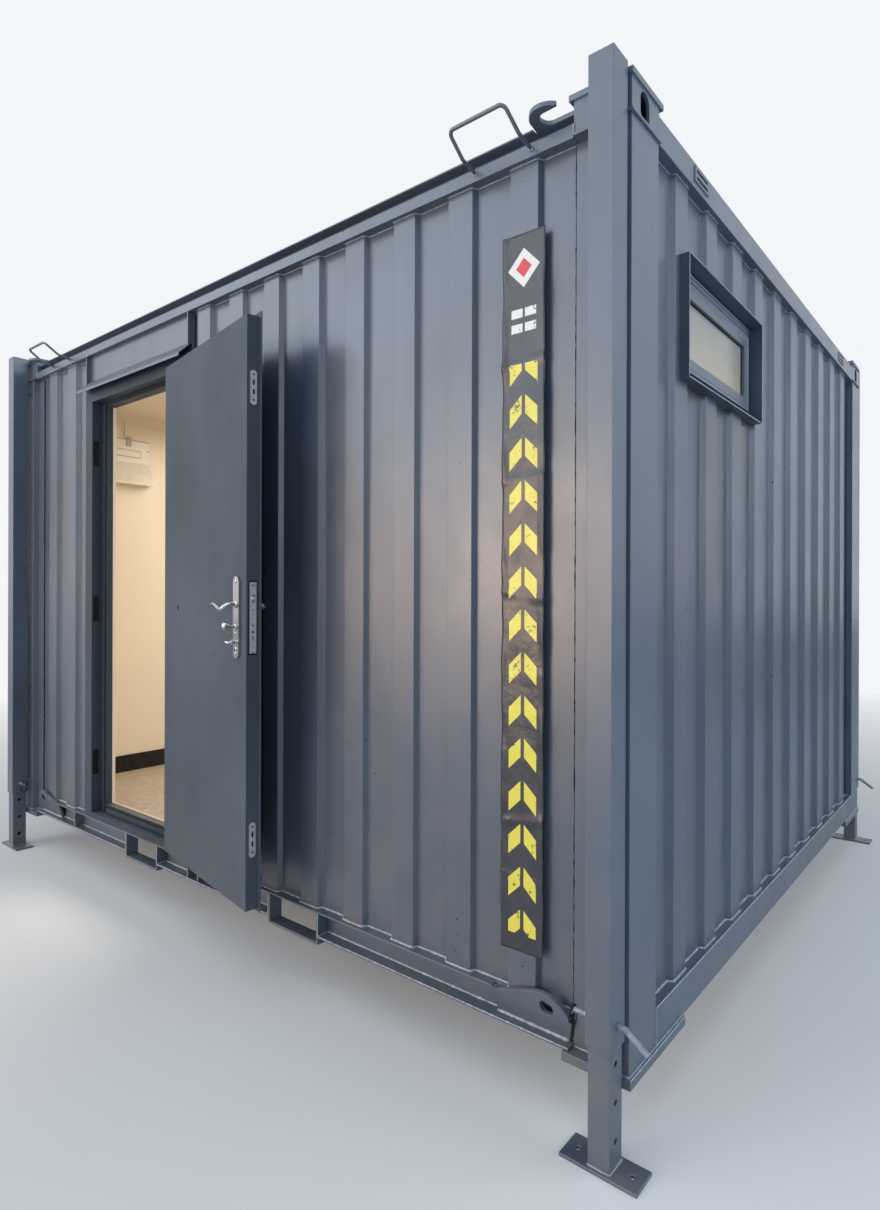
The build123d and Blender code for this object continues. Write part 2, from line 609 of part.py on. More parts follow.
knuckles = []
leaf_knuckles = []
for z in HINGE_Z:
    knuckle = Pos(HINGE_X, HINGE_Y, z - KNUCKLE_H / 2 - 1) * Cylinder(KNUCKLE_R, KNUCKLE_H)
    knuckles.append(knuckle + block(HINGE_X + 1, HINGE_X + 42, FRONT - 4, FRONT, z - KNUCKLE_H, z - 2))
    barrel = Pos(HINGE_X, HINGE_Y, z + KNUCKLE_H / 2) * Cylinder(KNUCKLE_R, KNUCKLE_H)
    leaf_knuckles.append(opened(barrel + block(HINGE_X - 70, HINGE_X - 1, OUT_Y - 4, OUT_Y, z + 1, z + KNUCKLE_H)))
save("hinge_halves_frame", knuckles)
save("hinge_halves_leaf", leaf_knuckles)

# Door furniture
back_plate = Plane.XZ * SlotOverall(280, 46, rotation=90)
plate_in = Pos(spindle_x, IN_Y + PLATE_T / 2, LOCK_Z) * extrude(back_plate, PLATE_T / 2, both=True)
plate_in -= rod_y(spindle_x, IN_Y - 1, IN_Y + PLATE_T + 1, SPINDLE_Z, SPINDLE_R + 4)
plate_out = Pos(spindle_x, OUT_Y - PLATE_T / 2, LOCK_Z) * extrude(back_plate, PLATE_T / 2, both=True)
plate_out -= rod_y(spindle_x, OUT_Y - PLATE_T - 1, OUT_Y + 1, SPINDLE_Z, SPINDLE_R + 4)
knob = rod_y(spindle_x, IN_Y + PLATE_T, IN_Y + PLATE_T + 34, KNOB_Z, 6)
knob += block(spindle_x - 14, spindle_x + 14, IN_Y + PLATE_T + 30, IN_Y + PLATE_T + 40, KNOB_Z - 7, KNOB_Z + 7)
turn = rod_y(spindle_x, IN_Y + PLATE_T, IN_Y + PLATE_T + 14, TURN_Z, 9)
face = block(LEAF_LEFT - 2, LEAF_LEFT, OUT_Y + 11, OUT_Y + 35, LOCK_Z - 121, LOCK_Z + 119)
face += block(LEAF_LEFT - LATCH_OUT, LEAF_LEFT - 2, OUT_Y + 17, OUT_Y + 29, SPINDLE_Z + 6, SPINDLE_Z + 32)
furniture = [plate_in + knob + turn, plate_out, face]
for z in OVAL_PLATE_Z:
    furniture.append(Pos(LEAF_LEFT - 1, OUT_Y + 24, z) * extrude(
        Plane.YZ * SlotOverall(120, 24, rotation=90), 1, both=True))
save("door_lock", [opened(p) for p in furniture])


def lever(y_foot, y_grip):
    """A round lever handle on its spindle, pointing to the hinge side."""
    step = 1 if y_grip > y_foot else -1
    return bent_rod([
        (spindle_x, y_foot, SPINDLE_Z), (spindle_x, y_grip, SPINDLE_Z),
        (spindle_x + LEVER_LENGTH, y_grip - step * 6, SPINDLE_Z - 4)], LEVER_R, 14)


handles = lever(IN_Y + 1, IN_Y + PLATE_T + LEVER_STAND) + lever(OUT_Y - 1, OUT_Y - PLATE_T - LEVER_STAND)
handles += rod_y(spindle_x, OUT_Y - 2, IN_Y + 2, SPINDLE_Z, SPINDLE_R)
save("lever_handles", opened(handles))

keeps = [block(REBATE_LEFT, REBATE_LEFT + 2, FRONT + 6, FRONT + 30, z - 60, z + 60) for z in KEEP_Z]
save("jamb_keeps", keeps)

# Window: folded surround box through the wall, fixed frame, sash and pane
WIN_Y = (WIN_LEFT + WIN_RIGHT) / 2
WIN_Z = (WIN_BOTTOM + WIN_TOP) / 2


def in_window(x0, x1, side, rail):
    """A block that fills the window less a margin at each side and a margin at top and bottom."""
    half_w = WIN_W / 2 - side
    half_h = (WIN_TOP - WIN_BOTTOM) / 2 - rail
    return block(x0, x1, WIN_Y - half_w, WIN_Y + half_w, WIN_Z - half_h, WIN_Z + half_h)


frame_side = WIN_SHEET + WIN_FRAME_SIDE
frame_rail = WIN_SHEET + WIN_FRAME_RAIL
pane_side = frame_side + WIN_SASH
pane_rail = frame_rail + WIN_SASH
frame_x = HALF_L - WIN_REVEAL
sash_x = frame_x + WIN_SASH_PROUD
pane_x = HALF_L - WIN_PANE_IN
surround = in_window(END_LIN_IN, HALF_L + WIN_OUT, 0, 0)
surround -= in_window(END_LIN_IN, HALF_L + WIN_OUT, WIN_SHEET, WIN_SHEET)
save("window_surround", surround)
fixed = in_window(END_LIN_IN + 8, frame_x, WIN_SHEET, WIN_SHEET)
fixed -= in_window(END_LIN_IN + 8, frame_x, frame_side, frame_rail)
save("window_frame", fixed)
sash = in_window(END_LIN_IN + 16, sash_x, frame_side, frame_rail)
sash -= in_window(END_LIN_IN + 16, sash_x, pane_side, pane_rail)
save("window_sash", sash)
save("window_pane", in_window(pane_x - WIN_PANE_T, pane_x, pane_side, pane_rail))

# Legs: outer tube with its two brackets, inner tube with its base plate, and the locking pin
LEG_X = HALF_L - LEG_FROM_END
LEG_Y = FRONT - LEG_GAP - LEG_OUT / 2
HALF_OUT = LEG_OUT / 2
HALF_IN = LEG_IN / 2
tube = block(LEG_X - HALF_OUT, LEG_X + HALF_OUT, LEG_Y - HALF_OUT, LEG_Y + HALF_OUT, LEG_BOTTOM, LEG_TOP)
bore = HALF_OUT - LEG_WALL
tube -= block(LEG_X - bore, LEG_X + bore, LEG_Y - bore, LEG_Y + bore, LEG_BOTTOM - 1, LEG_TOP - 6)
pin_z = LEG_HOLE_FIRST + PIN_HOLE * LEG_HOLE_PITCH
tube -= rod_x(LEG_X - LEG_OUT, LEG_X + LEG_OUT, LEG_Y, pin_z, LEG_HOLE_R)
for z in (LOW_BRACKET_Z, HIGH_BRACKET_Z):
    tube += block(LEG_X - BRACKET_W / 2, LEG_X + BRACKET_W / 2, LEG_Y + HALF_OUT, FRONT, z, z + BRACKET_H)
save("leg_outer_tubes", four(tube))

inner = block(LEG_X - HALF_IN, LEG_X + HALF_IN, LEG_Y - HALF_IN, LEG_Y + HALF_IN, BASE_T, LEG_IN_TOP)
hollow = HALF_IN - LEG_IN_WALL
inner -= block(LEG_X - hollow, LEG_X + hollow, LEG_Y - hollow, LEG_Y + hollow, BASE_T + 1, LEG_IN_TOP + 1)
inner += block(LEG_X - BASE_X / 2, LEG_X + BASE_X / 2, LEG_Y - BASE_Y / 2, LEG_Y + BASE_Y / 2, 0, BASE_T)
for i in range(LEG_HOLES):
    inner -= rod_x(LEG_X - LEG_OUT, LEG_X + LEG_OUT, LEG_Y, LEG_HOLE_FIRST + i * LEG_HOLE_PITCH, LEG_HOLE_R)
for side in (-1, 1):
    inner -= Pos(LEG_X + side * BASE_HOLES / 2, LEG_Y, BASE_T / 2) * Cylinder(BASE_HOLE_R, BASE_T + 2)
save("leg_inner_tubes", four(inner))

pin = bent_rod([
    (LEG_X - 94, LEG_Y, pin_z), (LEG_X + 53, LEG_Y, pin_z), (LEG_X + 116, LEG_Y, pin_z - 42)], PIN_R, 16)
save("locking_pins", four(pin))

# Wall unit inside, tapering upward, with its thin conduit
wall_x = -END_LIN_IN
unit = along_y([
    (wall_x, UNIT_BOTTOM), (wall_x + UNIT_OUT, UNIT_BOTTOM), (wall_x + UNIT_OUT, UNIT_BOTTOM + UNIT_LIP),
    (wall_x + UNIT_RIM, UNIT_SHOULDER), (wall_x + UNIT_RIM, UNIT_TOP), (wall_x, UNIT_TOP)],
    FRONT + UNIT_FROM_FRONT, FRONT + UNIT_FROM_FRONT + UNIT_W)
unit += block(
    wall_x, wall_x + CONDUIT_W, FRONT + CONDUIT_FROM_FRONT, FRONT + CONDUIT_FROM_FRONT + CONDUIT_W,
    UNIT_TOP, CEILING_BOTTOM)
save("wall_heater", unit)

# Banner strip on the front ribs
banner_right = HALF_L - BANNER_FROM_END
save("banner", block(banner_right - BANNER_W, banner_right, CREST_Y - 1, CREST_Y, BANNER_BOTTOM, BANNER_TOP))
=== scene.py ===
import math
import random

import bpy
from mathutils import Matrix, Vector


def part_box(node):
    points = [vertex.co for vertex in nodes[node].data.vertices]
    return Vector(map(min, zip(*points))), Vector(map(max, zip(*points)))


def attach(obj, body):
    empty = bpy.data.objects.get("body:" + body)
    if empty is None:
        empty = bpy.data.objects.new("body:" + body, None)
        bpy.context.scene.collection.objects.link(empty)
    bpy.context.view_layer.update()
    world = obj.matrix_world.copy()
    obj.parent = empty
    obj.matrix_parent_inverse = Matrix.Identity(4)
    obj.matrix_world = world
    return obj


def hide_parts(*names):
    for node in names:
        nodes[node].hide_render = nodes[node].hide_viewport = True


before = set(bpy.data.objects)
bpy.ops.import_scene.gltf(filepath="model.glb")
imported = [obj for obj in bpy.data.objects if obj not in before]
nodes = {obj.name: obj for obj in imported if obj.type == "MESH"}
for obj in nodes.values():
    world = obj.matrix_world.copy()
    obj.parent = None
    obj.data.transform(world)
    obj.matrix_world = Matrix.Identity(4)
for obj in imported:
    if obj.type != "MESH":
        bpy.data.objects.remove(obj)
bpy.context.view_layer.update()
MM = 0.001

# Colours of the finishes, linear
FRAME_GREY = (0.080, 0.108, 0.149)
SHEET_GREY = (0.064, 0.087, 0.121)
DOOR_GREY = (0.062, 0.082, 0.106)
SURROUND_GREY = (0.038, 0.053, 0.075)
RIM_GREY = (0.055, 0.075, 0.105)
DUST = (0.16, 0.135, 0.11)
GLASS_PAINTED_SKY = (0.33, 0.34, 0.35)
GLASS_PAINTED_GLOW = (0.60, 0.52, 0.39)
GLASS_CLOUD = (0.60, 0.53, 0.42)
VINYL_DARK = (0.022, 0.026, 0.033)
VINYL_WORN = (0.045, 0.050, 0.060)
PRINT_YELLOW = (0.72, 0.66, 0.09)
PRINT_WHITE = (0.74, 0.74, 0.73)
PRINT_RED = (0.58, 0.028, 0.036)
PALE = (0.90, 0.92, 0.95)
SKY_FILL = (0.72, 0.85, 1.0)
SKY_BLUE = (0.72, 0.86, 1.0)

# Heights between which dust fades out on the walls, and the window's glow on its glass
DUST_TOP = 0.75
DUST_FULL = 0.2
GLOW_TOP = 2.27
GLOW_FULL = 2.08

# The banner's printed motifs: sizes across are measured from its middle line
CHEVRON_PITCH = 0.118
CHEVRON_SHARE = 0.44
CHEVRON_RISE = 0.9
CHEVRON_HEIGHTS = (0.45, 2.02)
CHEVRON_ARM = (0.006, 0.047)
BAR_HEIGHTS = ((2.107, 2.131), (2.148, 2.172))
BAR_ARM = (0.004, 0.042)
DIAMOND_Z = 2.283
DIAMOND_HALF = 0.054
DIAMOND_CORE = 0.027


# Small helpers for node trees
def set_inputs(tree, node, inputs):
    """Each input gets a value, or a link from another node's socket."""
    for key, value in inputs.items():
        if isinstance(value, bpy.types.NodeSocket):
            tree.links.new(value, node.inputs[key])
        else:
            node.inputs[key].default_value = value


def add(tree, kind, inputs=None, **settings):
    """A shader node with its settings and its inputs."""
    n = tree.nodes.new("ShaderNode" + kind)
    for key, value in settings.items():
        setattr(n, key, value)
    set_inputs(tree, n, inputs or {})
    return n


def new_material(name):
    """A material, its tree, its shader and its object coordinates."""
    m = bpy.data.materials.new(name)
    m.use_nodes = True
    t = m.node_tree
    return m, t, t.nodes["Principled BSDF"], add(t, "TexCoord").outputs["Object"]


def math_node(tree, operation, a, b=0.0):
    """The result of an operation on two sockets or numbers."""
    return add(tree, "Math", {0: a, 1: b}, operation=operation).outputs[0]


def times(tree, a, b):
    return math_node(tree, "MULTIPLY", a, b)


def ramp(tree, fac, low, high, to_low=0.0, to_high=1.0):
    """A clamped linear remap of a value."""
    n = add(tree, "MapRange", {"Value": fac, "From Min": low, "From Max": high,
                               "To Min": to_low, "To Max": to_high})
    return n.outputs["Result"]


def spread(tree, fac, to_low=0.0, to_high=1.0):
    """A remap of a noise, most of which lies between 0.3 and 0.7."""
    return ramp(tree, fac, 0.3, 0.7, to_low, to_high)


def mix(tree, fac, a, b):
    """A mix of two colours, each a socket or a linear RGB triple. The node's colour inputs are 6 and 7."""
    inputs = {0: fac}
    for i, value in ((6, a), (7, b)):
        inputs[i] = value if isinstance(value, bpy.types.NodeSocket) else (*value, 1.0)
    return add(tree, "Mix", inputs, data_type="RGBA").outputs[2]


def shade(colour, factor, lift=0.0):
    """A lighter or darker colour."""
    return [min(1.0, c * factor + lift) for c in colour]


def stretched(tree, coords, scale):
    """The object's own coordinates, scaled along each axis."""
    return add(tree, "Mapping", {"Vector": coords, "Scale": scale}).outputs["Vector"]


def noise(tree, vector, scale, detail=3.0, rough=0.55):
    """Cloudy noise, from 0 to 1."""
    n = add(tree, "TexNoise", {"Vector": vector, "Scale": scale, "Detail": detail, "Roughness": rough})
    return n.outputs["Fac"]


def bump(tree, height, strength, distance, normal=None):
    """The normal over a relief, on top of another normal when one is given."""
    inputs = {"Strength": strength, "Distance": distance, "Height": height}
    if normal:
        inputs["Normal"] = normal
    return add(tree, "Bump", inputs).outputs["Normal"]


def paint(name, colour, rough=0.36, wave=0.35, dust=0.5, edge=0.0025, wear=0.5, shine_level=0.42):
    """Paint on steel, with runs, dust near the ground, dark specks, worn edges that also carry a painted
    highlight, dents and orange peel.
    """
    m, t, bsdf, coords = new_material(name)

    # Tone: a slow drift, upright runs and fine mottling
    drift = noise(t, coords, 1.3, 4.0)
    runs = noise(t, stretched(t, coords, (9.0, 9.0, 0.7)), 1.0, 5.0, 0.6)
    fine = noise(t, coords, 55.0, 4.0, 0.7)
    base = mix(t, spread(t, drift), shade(colour, 0.84), shade(colour, 1.22, 0.006))
    base = mix(t, ramp(t, runs, 0.56, 0.78, 0.0, 0.35), base, shade(colour, 1.45))
    base = mix(t, ramp(t, fine, 0.55, 0.8, 0.0, 0.22), base, shade(colour, 0.7))

    # Dust in patches, towards the ground
    height = add(t, "SeparateXYZ", {"Vector": coords}).outputs["Z"]
    patches = ramp(t, noise(t, coords, 7.0, 6.0, 0.65), 0.38, 0.72)
    dirt = times(t, times(t, patches, ramp(t, height, DUST_TOP, DUST_FULL)), dust)
    base = mix(t, dirt, base, DUST)

    # Dark specks, of a size that drifts, so that they come in groups
    spots = add(t, "TexVoronoi", {"Vector": coords, "Scale": 14.0, "Randomness": 1.0}).outputs["Distance"]
    size = ramp(t, noise(t, coords, 3.1, 1.0), 0.40, 0.66, 0.0, 0.056)
    speck = math_node(t, "LESS_THAN", spots, size)
    base = mix(t, times(t, speck, 0.95), base, shade(colour, 0.12))

    # Worn edges, where the softened normal leaves the flat one; the lightening there is partly wear and
    # partly a painted highlight on the folds
    soft = add(t, "Bevel", {"Radius": edge}, samples=4).outputs["Normal"]
    flat = add(t, "NewGeometry").outputs["Normal"]
    turn = add(t, "VectorMath", {0: soft, 1: flat}, operation="DOT_PRODUCT").outputs["Value"]
    patchy_rim = ramp(t, noise(t, coords, 26.0, 4.0, 0.7), 0.30, 0.62, 0.35, 1.0)
    rim = times(t, ramp(t, turn, 0.985, 0.80), patchy_rim)
    base = mix(t, times(t, rim, wear), base, shade(colour, 2.3, 0.03))

    # Gloss, dulled by dust and specks, over slow dents and orange peel
    gloss = spread(t, noise(t, coords, 4.0, 5.0, 0.6), rough - 0.05, rough + 0.07)
    dull = math_node(t, "ADD", times(t, dirt, 0.3), times(t, speck, 0.6))
    slow = noise(t, stretched(t, coords, (2.6, 2.6, 1.5)), 1.0, 2.0)
    dents = bump(t, slow, wave, 0.012, soft)
    set_inputs(t, bsdf, {
        "Base Color": base,
        "Roughness": math_node(t, "ADD", gloss, dull),
        "Normal": bump(t, noise(t, coords, 420.0, 2.0), 0.10, 0.0006, dents),
        "Specular IOR Level": shine_level,
    })
    return m


# Their lightened edges are partly wear and partly a painted highlight, raised most on the sheets and the
# window's surround
frame_paint = paint("frame_paint", FRAME_GREY, rough=0.30, edge=0.004, shine_level=0.66)
rim_paint = paint("rim_paint", RIM_GREY, rough=0.36, wave=0.2, edge=0.003, wear=1.4)
sheet_paint = paint("sheet_paint", SHEET_GREY, rough=0.31, wave=0.5, wear=0.9, shine_level=0.78)
door_paint = paint("door_paint", DOOR_GREY, rough=0.52, wave=0.25, dust=0.25, shine_level=0.12)
surround_paint = paint("surround_paint", SURROUND_GREY, rough=0.5, wave=0.2, dust=0.2, shine_level=0.12)
leg_paint = paint("leg_paint", FRAME_GREY, rough=0.30, wave=0.2, dust=0.8, edge=0.004, wear=0.7,
                  shine_level=0.66)


def plain(name, colour, rough, variation, scale, relief, grain, metal=0.0, shine_level=0.5):
    """A simple finish: its tone varies at one scale, and its fine relief has a grain of its own."""
    m, t, bsdf, coords = new_material(name)
    tone = spread(t, noise(t, coords, scale, 5.0, 0.6))
    cloudy = noise(t, coords, scale * 2.3, 4.0)
    set_inputs(t, bsdf, {
        "Base Color": mix(t, tone, shade(colour, 1 - variation), shade(colour, 1 + variation)),
        "Roughness": spread(t, cloudy, rough * 0.85, min(1.0, rough * 1.15)),
        "Normal": bump(t, noise(t, coords, grain, 3.0), relief, 0.0004),
        "Metallic": metal,
        "Specular IOR Level": shine_level,
    })
    return m


zinc = plain("zinc", (0.21, 0.25, 0.29), 0.45, 0.3, 60.0, 0.25, 300.0, metal=0.3)
chrome = plain("chrome", (0.50, 0.49, 0.48), 0.2, 0.06, 30.0, 0.05, 300.0, metal=1.0)
steel = plain("steel", (0.45, 0.46, 0.48), 0.35, 0.12, 40.0, 0.15, 400.0, metal=1.0)
cream = plain("lining_cream", (0.80, 0.73, 0.62), 0.5, 0.03, 2.0, 0.12, 160.0)
vinyl = plain("floor_vinyl", (0.42, 0.35, 0.28), 0.5, 0.18, 34.0, 0.15, 120.0)
deck = plain("deck_board", (0.23, 0.16, 0.10), 0.8, 0.25, 14.0, 0.4, 90.0)
black = plain("skirting_black", (0.005, 0.005, 0.006), 0.8, 0.3, 12.0, 0.15, 120.0)
enamel = plain("white_enamel", (0.78, 0.76, 0.70), 0.3, 0.03, 8.0, 0.05, 200.0)
window_grey = plain("window_frame_plastic", (0.085, 0.104, 0.135), 0.36, 0.12, 40.0, 0.15, 500.0)
sash_grey = plain("window_sash_plastic", (0.112, 0.134, 0.168), 0.34, 0.12, 40.0, 0.15, 500.0)
# Weld beads lighter than the frame paint that coats them: a painted highlight
bead_grey_painted_highlight = plain("weld_bead_painted_highlight", (0.24, 0.285, 0.34), 0.38, 0.25, 90.0, 0.4, 350.0)
# Beads much lighter than the paint that coats them: a painted highlight
bead_painted_highlight = plain("bead_painted_highlight", (0.33, 0.38, 0.44), 0.38, 0.35, 70.0, 0.4, 350.0)
seam_painted_shade = plain("seam_painted_shade", (0.008, 0.011, 0.015), 0.85, 0.4, 50.0, 0.3, 300.0, shine_level=0.2)
bright_steel = plain("bright_steel", (0.50, 0.51, 0.53), 0.38, 0.12, 60.0, 0.1, 300.0, metal=0.4)
grey_plate = plain("grey_plate", (0.42, 0.41, 0.38), 0.4, 0.1, 60.0, 0.1, 300.0)
seal_black = plain("seal_black", (0.012, 0.013, 0.015), 0.6, 0.2, 60.0, 0.2, 300.0, shine_level=0.15)


def obscure_glass():
    """Pebbled glass, pale above and warm below, where the lit room shows: a painted sky reflection and a
    painted glow of the room.
    """
    m, t, bsdf, coords = new_material("obscure_glass")
    height = add(t, "SeparateXYZ", {"Vector": coords}).outputs["Z"]
    cells = add(t, "TexVoronoi", {"Vector": coords, "Scale": 95.0}, feature="SMOOTH_F1").outputs["Distance"]
    # Painted light: a pale sky reflection above and the lit room's warm glow below, with warm patches over
    # both
    base = mix(t, ramp(t, height, GLOW_TOP, GLOW_FULL), GLASS_PAINTED_SKY, GLASS_PAINTED_GLOW)
    base = mix(t, ramp(t, noise(t, coords, 9.0, 4.0), 0.35, 0.7, 0.0, 0.35), base, GLASS_CLOUD)
    set_inputs(t, bsdf, {
        "Base Color": base,
        "Roughness": 0.2,
        "Normal": bump(t, cells, 0.55, 0.002),
        "Transmission Weight": 0.25,
    })
    return m


glass = obscure_glass()


def printed_vinyl():
    """Dark vinyl with printed chevrons, two rows of bars and a diamond, set out from its own middle line."""
    m, t, bsdf, coords = new_material("printed_vinyl")
    place = add(t, "SeparateXYZ", {"Vector": coords})
    height = place.outputs["Z"]
    lo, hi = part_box("banner")
    off = math_node(t, "ABSOLUTE", math_node(t, "SUBTRACT", place.outputs["X"], (lo[0] + hi[0]) / 2))

    # Chevrons, bars and diamond, each as a mask
    def between(value, low, high):
        above = math_node(t, "GREATER_THAN", value, low)
        return times(t, above, math_node(t, "LESS_THAN", value, high))

    slant = math_node(t, "ADD", height, times(t, off, CHEVRON_RISE))
    step = math_node(t, "FRACT", math_node(t, "DIVIDE", slant, CHEVRON_PITCH))
    arms = times(t, between(off, *CHEVRON_ARM), between(height, *CHEVRON_HEIGHTS))
    chevrons = times(t, between(step, 0.0, CHEVRON_SHARE), arms)
    bars = math_node(t, "MAXIMUM", *[between(height, *band) for band in BAR_HEIGHTS])
    bars = times(t, bars, between(off, *BAR_ARM))
    from_middle = math_node(t, "ABSOLUTE", math_node(t, "SUBTRACT", height, DIAMOND_Z))
    diamond = math_node(t, "ADD", off, from_middle)

    # Worn print on creased vinyl
    wear = ramp(t, noise(t, coords, 38.0, 5.0, 0.7), 0.34, 0.40)
    base = mix(t, spread(t, noise(t, coords, 6.0, 4.0)), VINYL_DARK, VINYL_WORN)
    base = mix(t, times(t, chevrons, wear), base, PRINT_YELLOW)
    base = mix(t, times(t, bars, wear), base, PRINT_WHITE)
    base = mix(t, math_node(t, "LESS_THAN", diamond, DIAMOND_HALF), base, PRINT_WHITE)
    base = mix(t, math_node(t, "LESS_THAN", diamond, DIAMOND_CORE), base, PRINT_RED)
    set_inputs(t, bsdf, {
        "Base Color": base,
        "Roughness": spread(t, noise(t, coords, 14.0, 4.0), 0.22, 0.38),
        "Normal": bump(t, noise(t, coords, 16.0, 3.0), 0.55, 0.006),
    })
    return m


CLAD = {
    frame_paint: ("corner_posts", "corner_castings", "corner_foot_plates", "sills", "fork_pockets",
                  "floor_beams", "lashing_lugs", "head_rails", "lifting_hooks", "roof_rod_loops"),
    rim_paint: ("window_surround",),
    sheet_paint: ("front_sheets", "rear_sheet", "window_end_sheet", "plain_end_sheet", "roof_sheet",
                  "over_door_panel", "drip_hood"),
    door_paint: ("door_leaf", "hinge_halves_frame", "hinge_halves_leaf"),
    surround_paint: ("door_jambs", "door_lintel", "door_threshold"),
    leg_paint: ("leg_outer_tubes", "leg_inner_tubes"),
    zinc: ("locking_pins",),
    chrome: ("door_lock", "lever_handles"),
    # The keeps take the black seal finish as painted shade, for the dark slots they sit in
    seal_black: ("jamb_keeps", "banner"),
    cream: ("front_linings", "lining_over_door", "rear_lining", "window_end_lining", "plain_end_lining",
            "ceiling_panel"),
    vinyl: ("floor_covering",),
    deck: ("floor_deck",),
    black: ("skirting",),
    enamel: ("wall_heater",),
    window_grey: ("window_frame",),
    sash_grey: ("window_sash",),
    glass: ("window_pane",),
}
for finish, names in CLAD.items():
    for name in names:
        mesh = nodes[name].data
        mesh.materials.clear()
        mesh.materials.append(finish)


ALONG_Y = (0, 1, 0)


# Small helpers for pieces. Places are in metres, radii and the sizes of turned parts in millimetres
def piece(name, parts, finish, body="cabin", smooth=False):
    """One mesh piece from several lots of vertices and faces, which rides on a body."""
    verts = []
    faces = []
    for v, f in parts:
        start = len(verts)
        verts += [tuple(p) for p in v]
        faces += [tuple(i + start for i in face) for face in f]
    mesh = bpy.data.meshes.new(name)
    mesh.from_pydata(verts, [], faces)
    mesh.validate()
    mesh.update()
    if smooth:
        mesh.shade_smooth()
    mesh.materials.append(finish)
    obj = bpy.data.objects.new(name, mesh)
    bpy.context.scene.collection.objects.link(obj)
    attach(obj, body)
    return obj


def split(path, step):
    """The path with extra points, so that no stretch is longer than the step."""
    out = [Vector(path[0])]
    for a, b in zip(path, path[1:]):
        a = Vector(a)
        b = Vector(b)
        count = max(1, math.ceil((b - a).length / step))
        for i in range(1, count + 1):
            out.append(a.lerp(b, i / count))
    return out


def rounded(path, count=6):
    """A smooth curve through the points."""
    pts = [Vector(p) for p in path]
    pts = [2 * pts[0] - pts[1]] + pts + [2 * pts[-1] - pts[-2]]
    out = []
    for a, b, c, d in zip(pts, pts[1:], pts[2:], pts[3:]):
        for i in range(count):
            s = i / count
            out.append(0.5 * (2 * b + (c - a) * s + (2 * a - 5 * b + 4 * c - d) * s * s
                              + (3 * b - a - 3 * c + d) * s * s * s))
    out.append(pts[-2])
    return out


def circle(centre, across, other, r, sides):
    """Points round a centre, on the plane of two directions."""
    turns = [2 * math.pi * k / sides for k in range(sides)]
    return [centre + (across * math.cos(a) + other * math.sin(a)) * r for a in turns]


def skinned(verts, sides):
    """Rings of vertices, one after the other, with the faces between them and over both ends."""
    faces = []
    for start in range(0, len(verts) - sides, sides):
        for k in range(sides):
            a = start + k
            b = start + (k + 1) % sides
            faces.append((a, b, b + sides, a + sides))
    faces.append(tuple(range(sides))[::-1])
    faces.append(tuple(range(len(verts) - sides, len(verts))))
    return verts, faces


def tube(path, radii, sides=6, ripple=0.0, seed=1):
    """A round tube along a path, with one radius or one for each point, uneven when ripple is given."""
    pts = [Vector(p) for p in path]
    rng = random.Random(seed)
    verts = []
    across = None
    for i, p in enumerate(pts):
        along = (pts[min(i + 1, len(pts) - 1)] - pts[max(i - 1, 0)]).normalized()
        if across is None:
            across = along.orthogonal().normalized()
        across = (across - along * across.dot(along)).normalized()
        r = radii[i] if isinstance(radii, list) else radii
        r *= 1 + ripple * (2 * rng.random() - 1)
        verts += circle(p, across, along.cross(across), r * MM, sides)
    return skinned(verts, sides)


def bead(path, radius, seed, ripple=0.28, step=0.007):
    """An uneven bead of weld or paint."""
    return tube(split(path, step), radius, 6, ripple, seed)


def bead_up(x, y, z0, z1, **settings):
    """An upright bead."""
    return bead([(x, y, z0), (x, y, z1)], **settings)


def bead_along(x0, x1, y, z, **settings):
    """A level bead along a long side."""
    return bead([(x0, y, z), (x1, y, z)], **settings)


def cuboid(x0, x1, y0, y1, z0, z1):
    """A box between two places on each axis."""
    verts = [(x, y, z) for x in (x0, x1) for y in (y0, y1) for z in (z0, z1)]
    return verts, [(0, 1, 3, 2), (4, 6, 7, 5), (0, 4, 5, 1), (2, 3, 7, 6), (0, 2, 6, 4), (1, 5, 7, 3)]


def lathe(centre, axis, rings, sides=20):
    """A turned shape: pairs of distance along the axis and radius."""
    centre = Vector(centre)
    axis = Vector(axis).normalized()
    across = axis.orthogonal().normalized()
    verts = []
    for along, r in rings:
        verts += circle(centre + axis * along * MM, across, axis.cross(across), r * MM, sides)
    return skinned(verts, sides)


def disc(centre, axis, start, end, r, sides):
    """A disc or a rod, between two distances along its axis."""
    return lathe(centre, axis, [(start, r), (end, r)], sides)


def dome(centre, axis, r, height, sides=14):
    """A low round head, such as a screw's."""
    rings = [(0, r), (height * 0.5, r * 0.92), (height * 0.85, r * 0.62), (height, r * 0.2)]
    return lathe(centre, axis, rings, sides)


def mirrored(parts, x_sign, y_sign):
    """The parts and their mirror images."""
    out = list(parts)
    for verts, faces in parts:
        out.append(([(x * x_sign, y * y_sign, z) for x, y, z in verts], [f[::-1] for f in faces]))
    return out


def both_walls(parts):
    """The parts and their copies on the other long side."""
    return mirrored(parts, 1, -1)


def both_ends(parts):
    """The parts and their copies at the other end."""
    return mirrored(parts, -1, 1)


def end_rectangle(x, lo, hi, inset):
    """A closed path round a rectangle on a plane across X, an inset inside its edges."""
    y0, y1, z0, z1 = lo[1] + inset, hi[1] - inset, lo[2] + inset, hi[2] - inset
    return [(x, y0, z0), (x, y1, z0), (x, y1, z1), (x, y0, z1), (x, y0, z0)]


def end_strips(x0, x1, lo, hi, width):
    """Four flat strips just inside a rectangle on a plane across X."""
    return [
        cuboid(x0, x1, lo[1], hi[1], lo[2], lo[2] + width),
        cuboid(x0, x1, lo[1], hi[1], hi[2] - width, hi[2]),
        cuboid(x0, x1, lo[1], lo[1] + width, lo[2] + width, hi[2] - width),
        cuboid(x0, x1, hi[1] - width, hi[1], lo[2] + width, hi[2] - width),
    ]


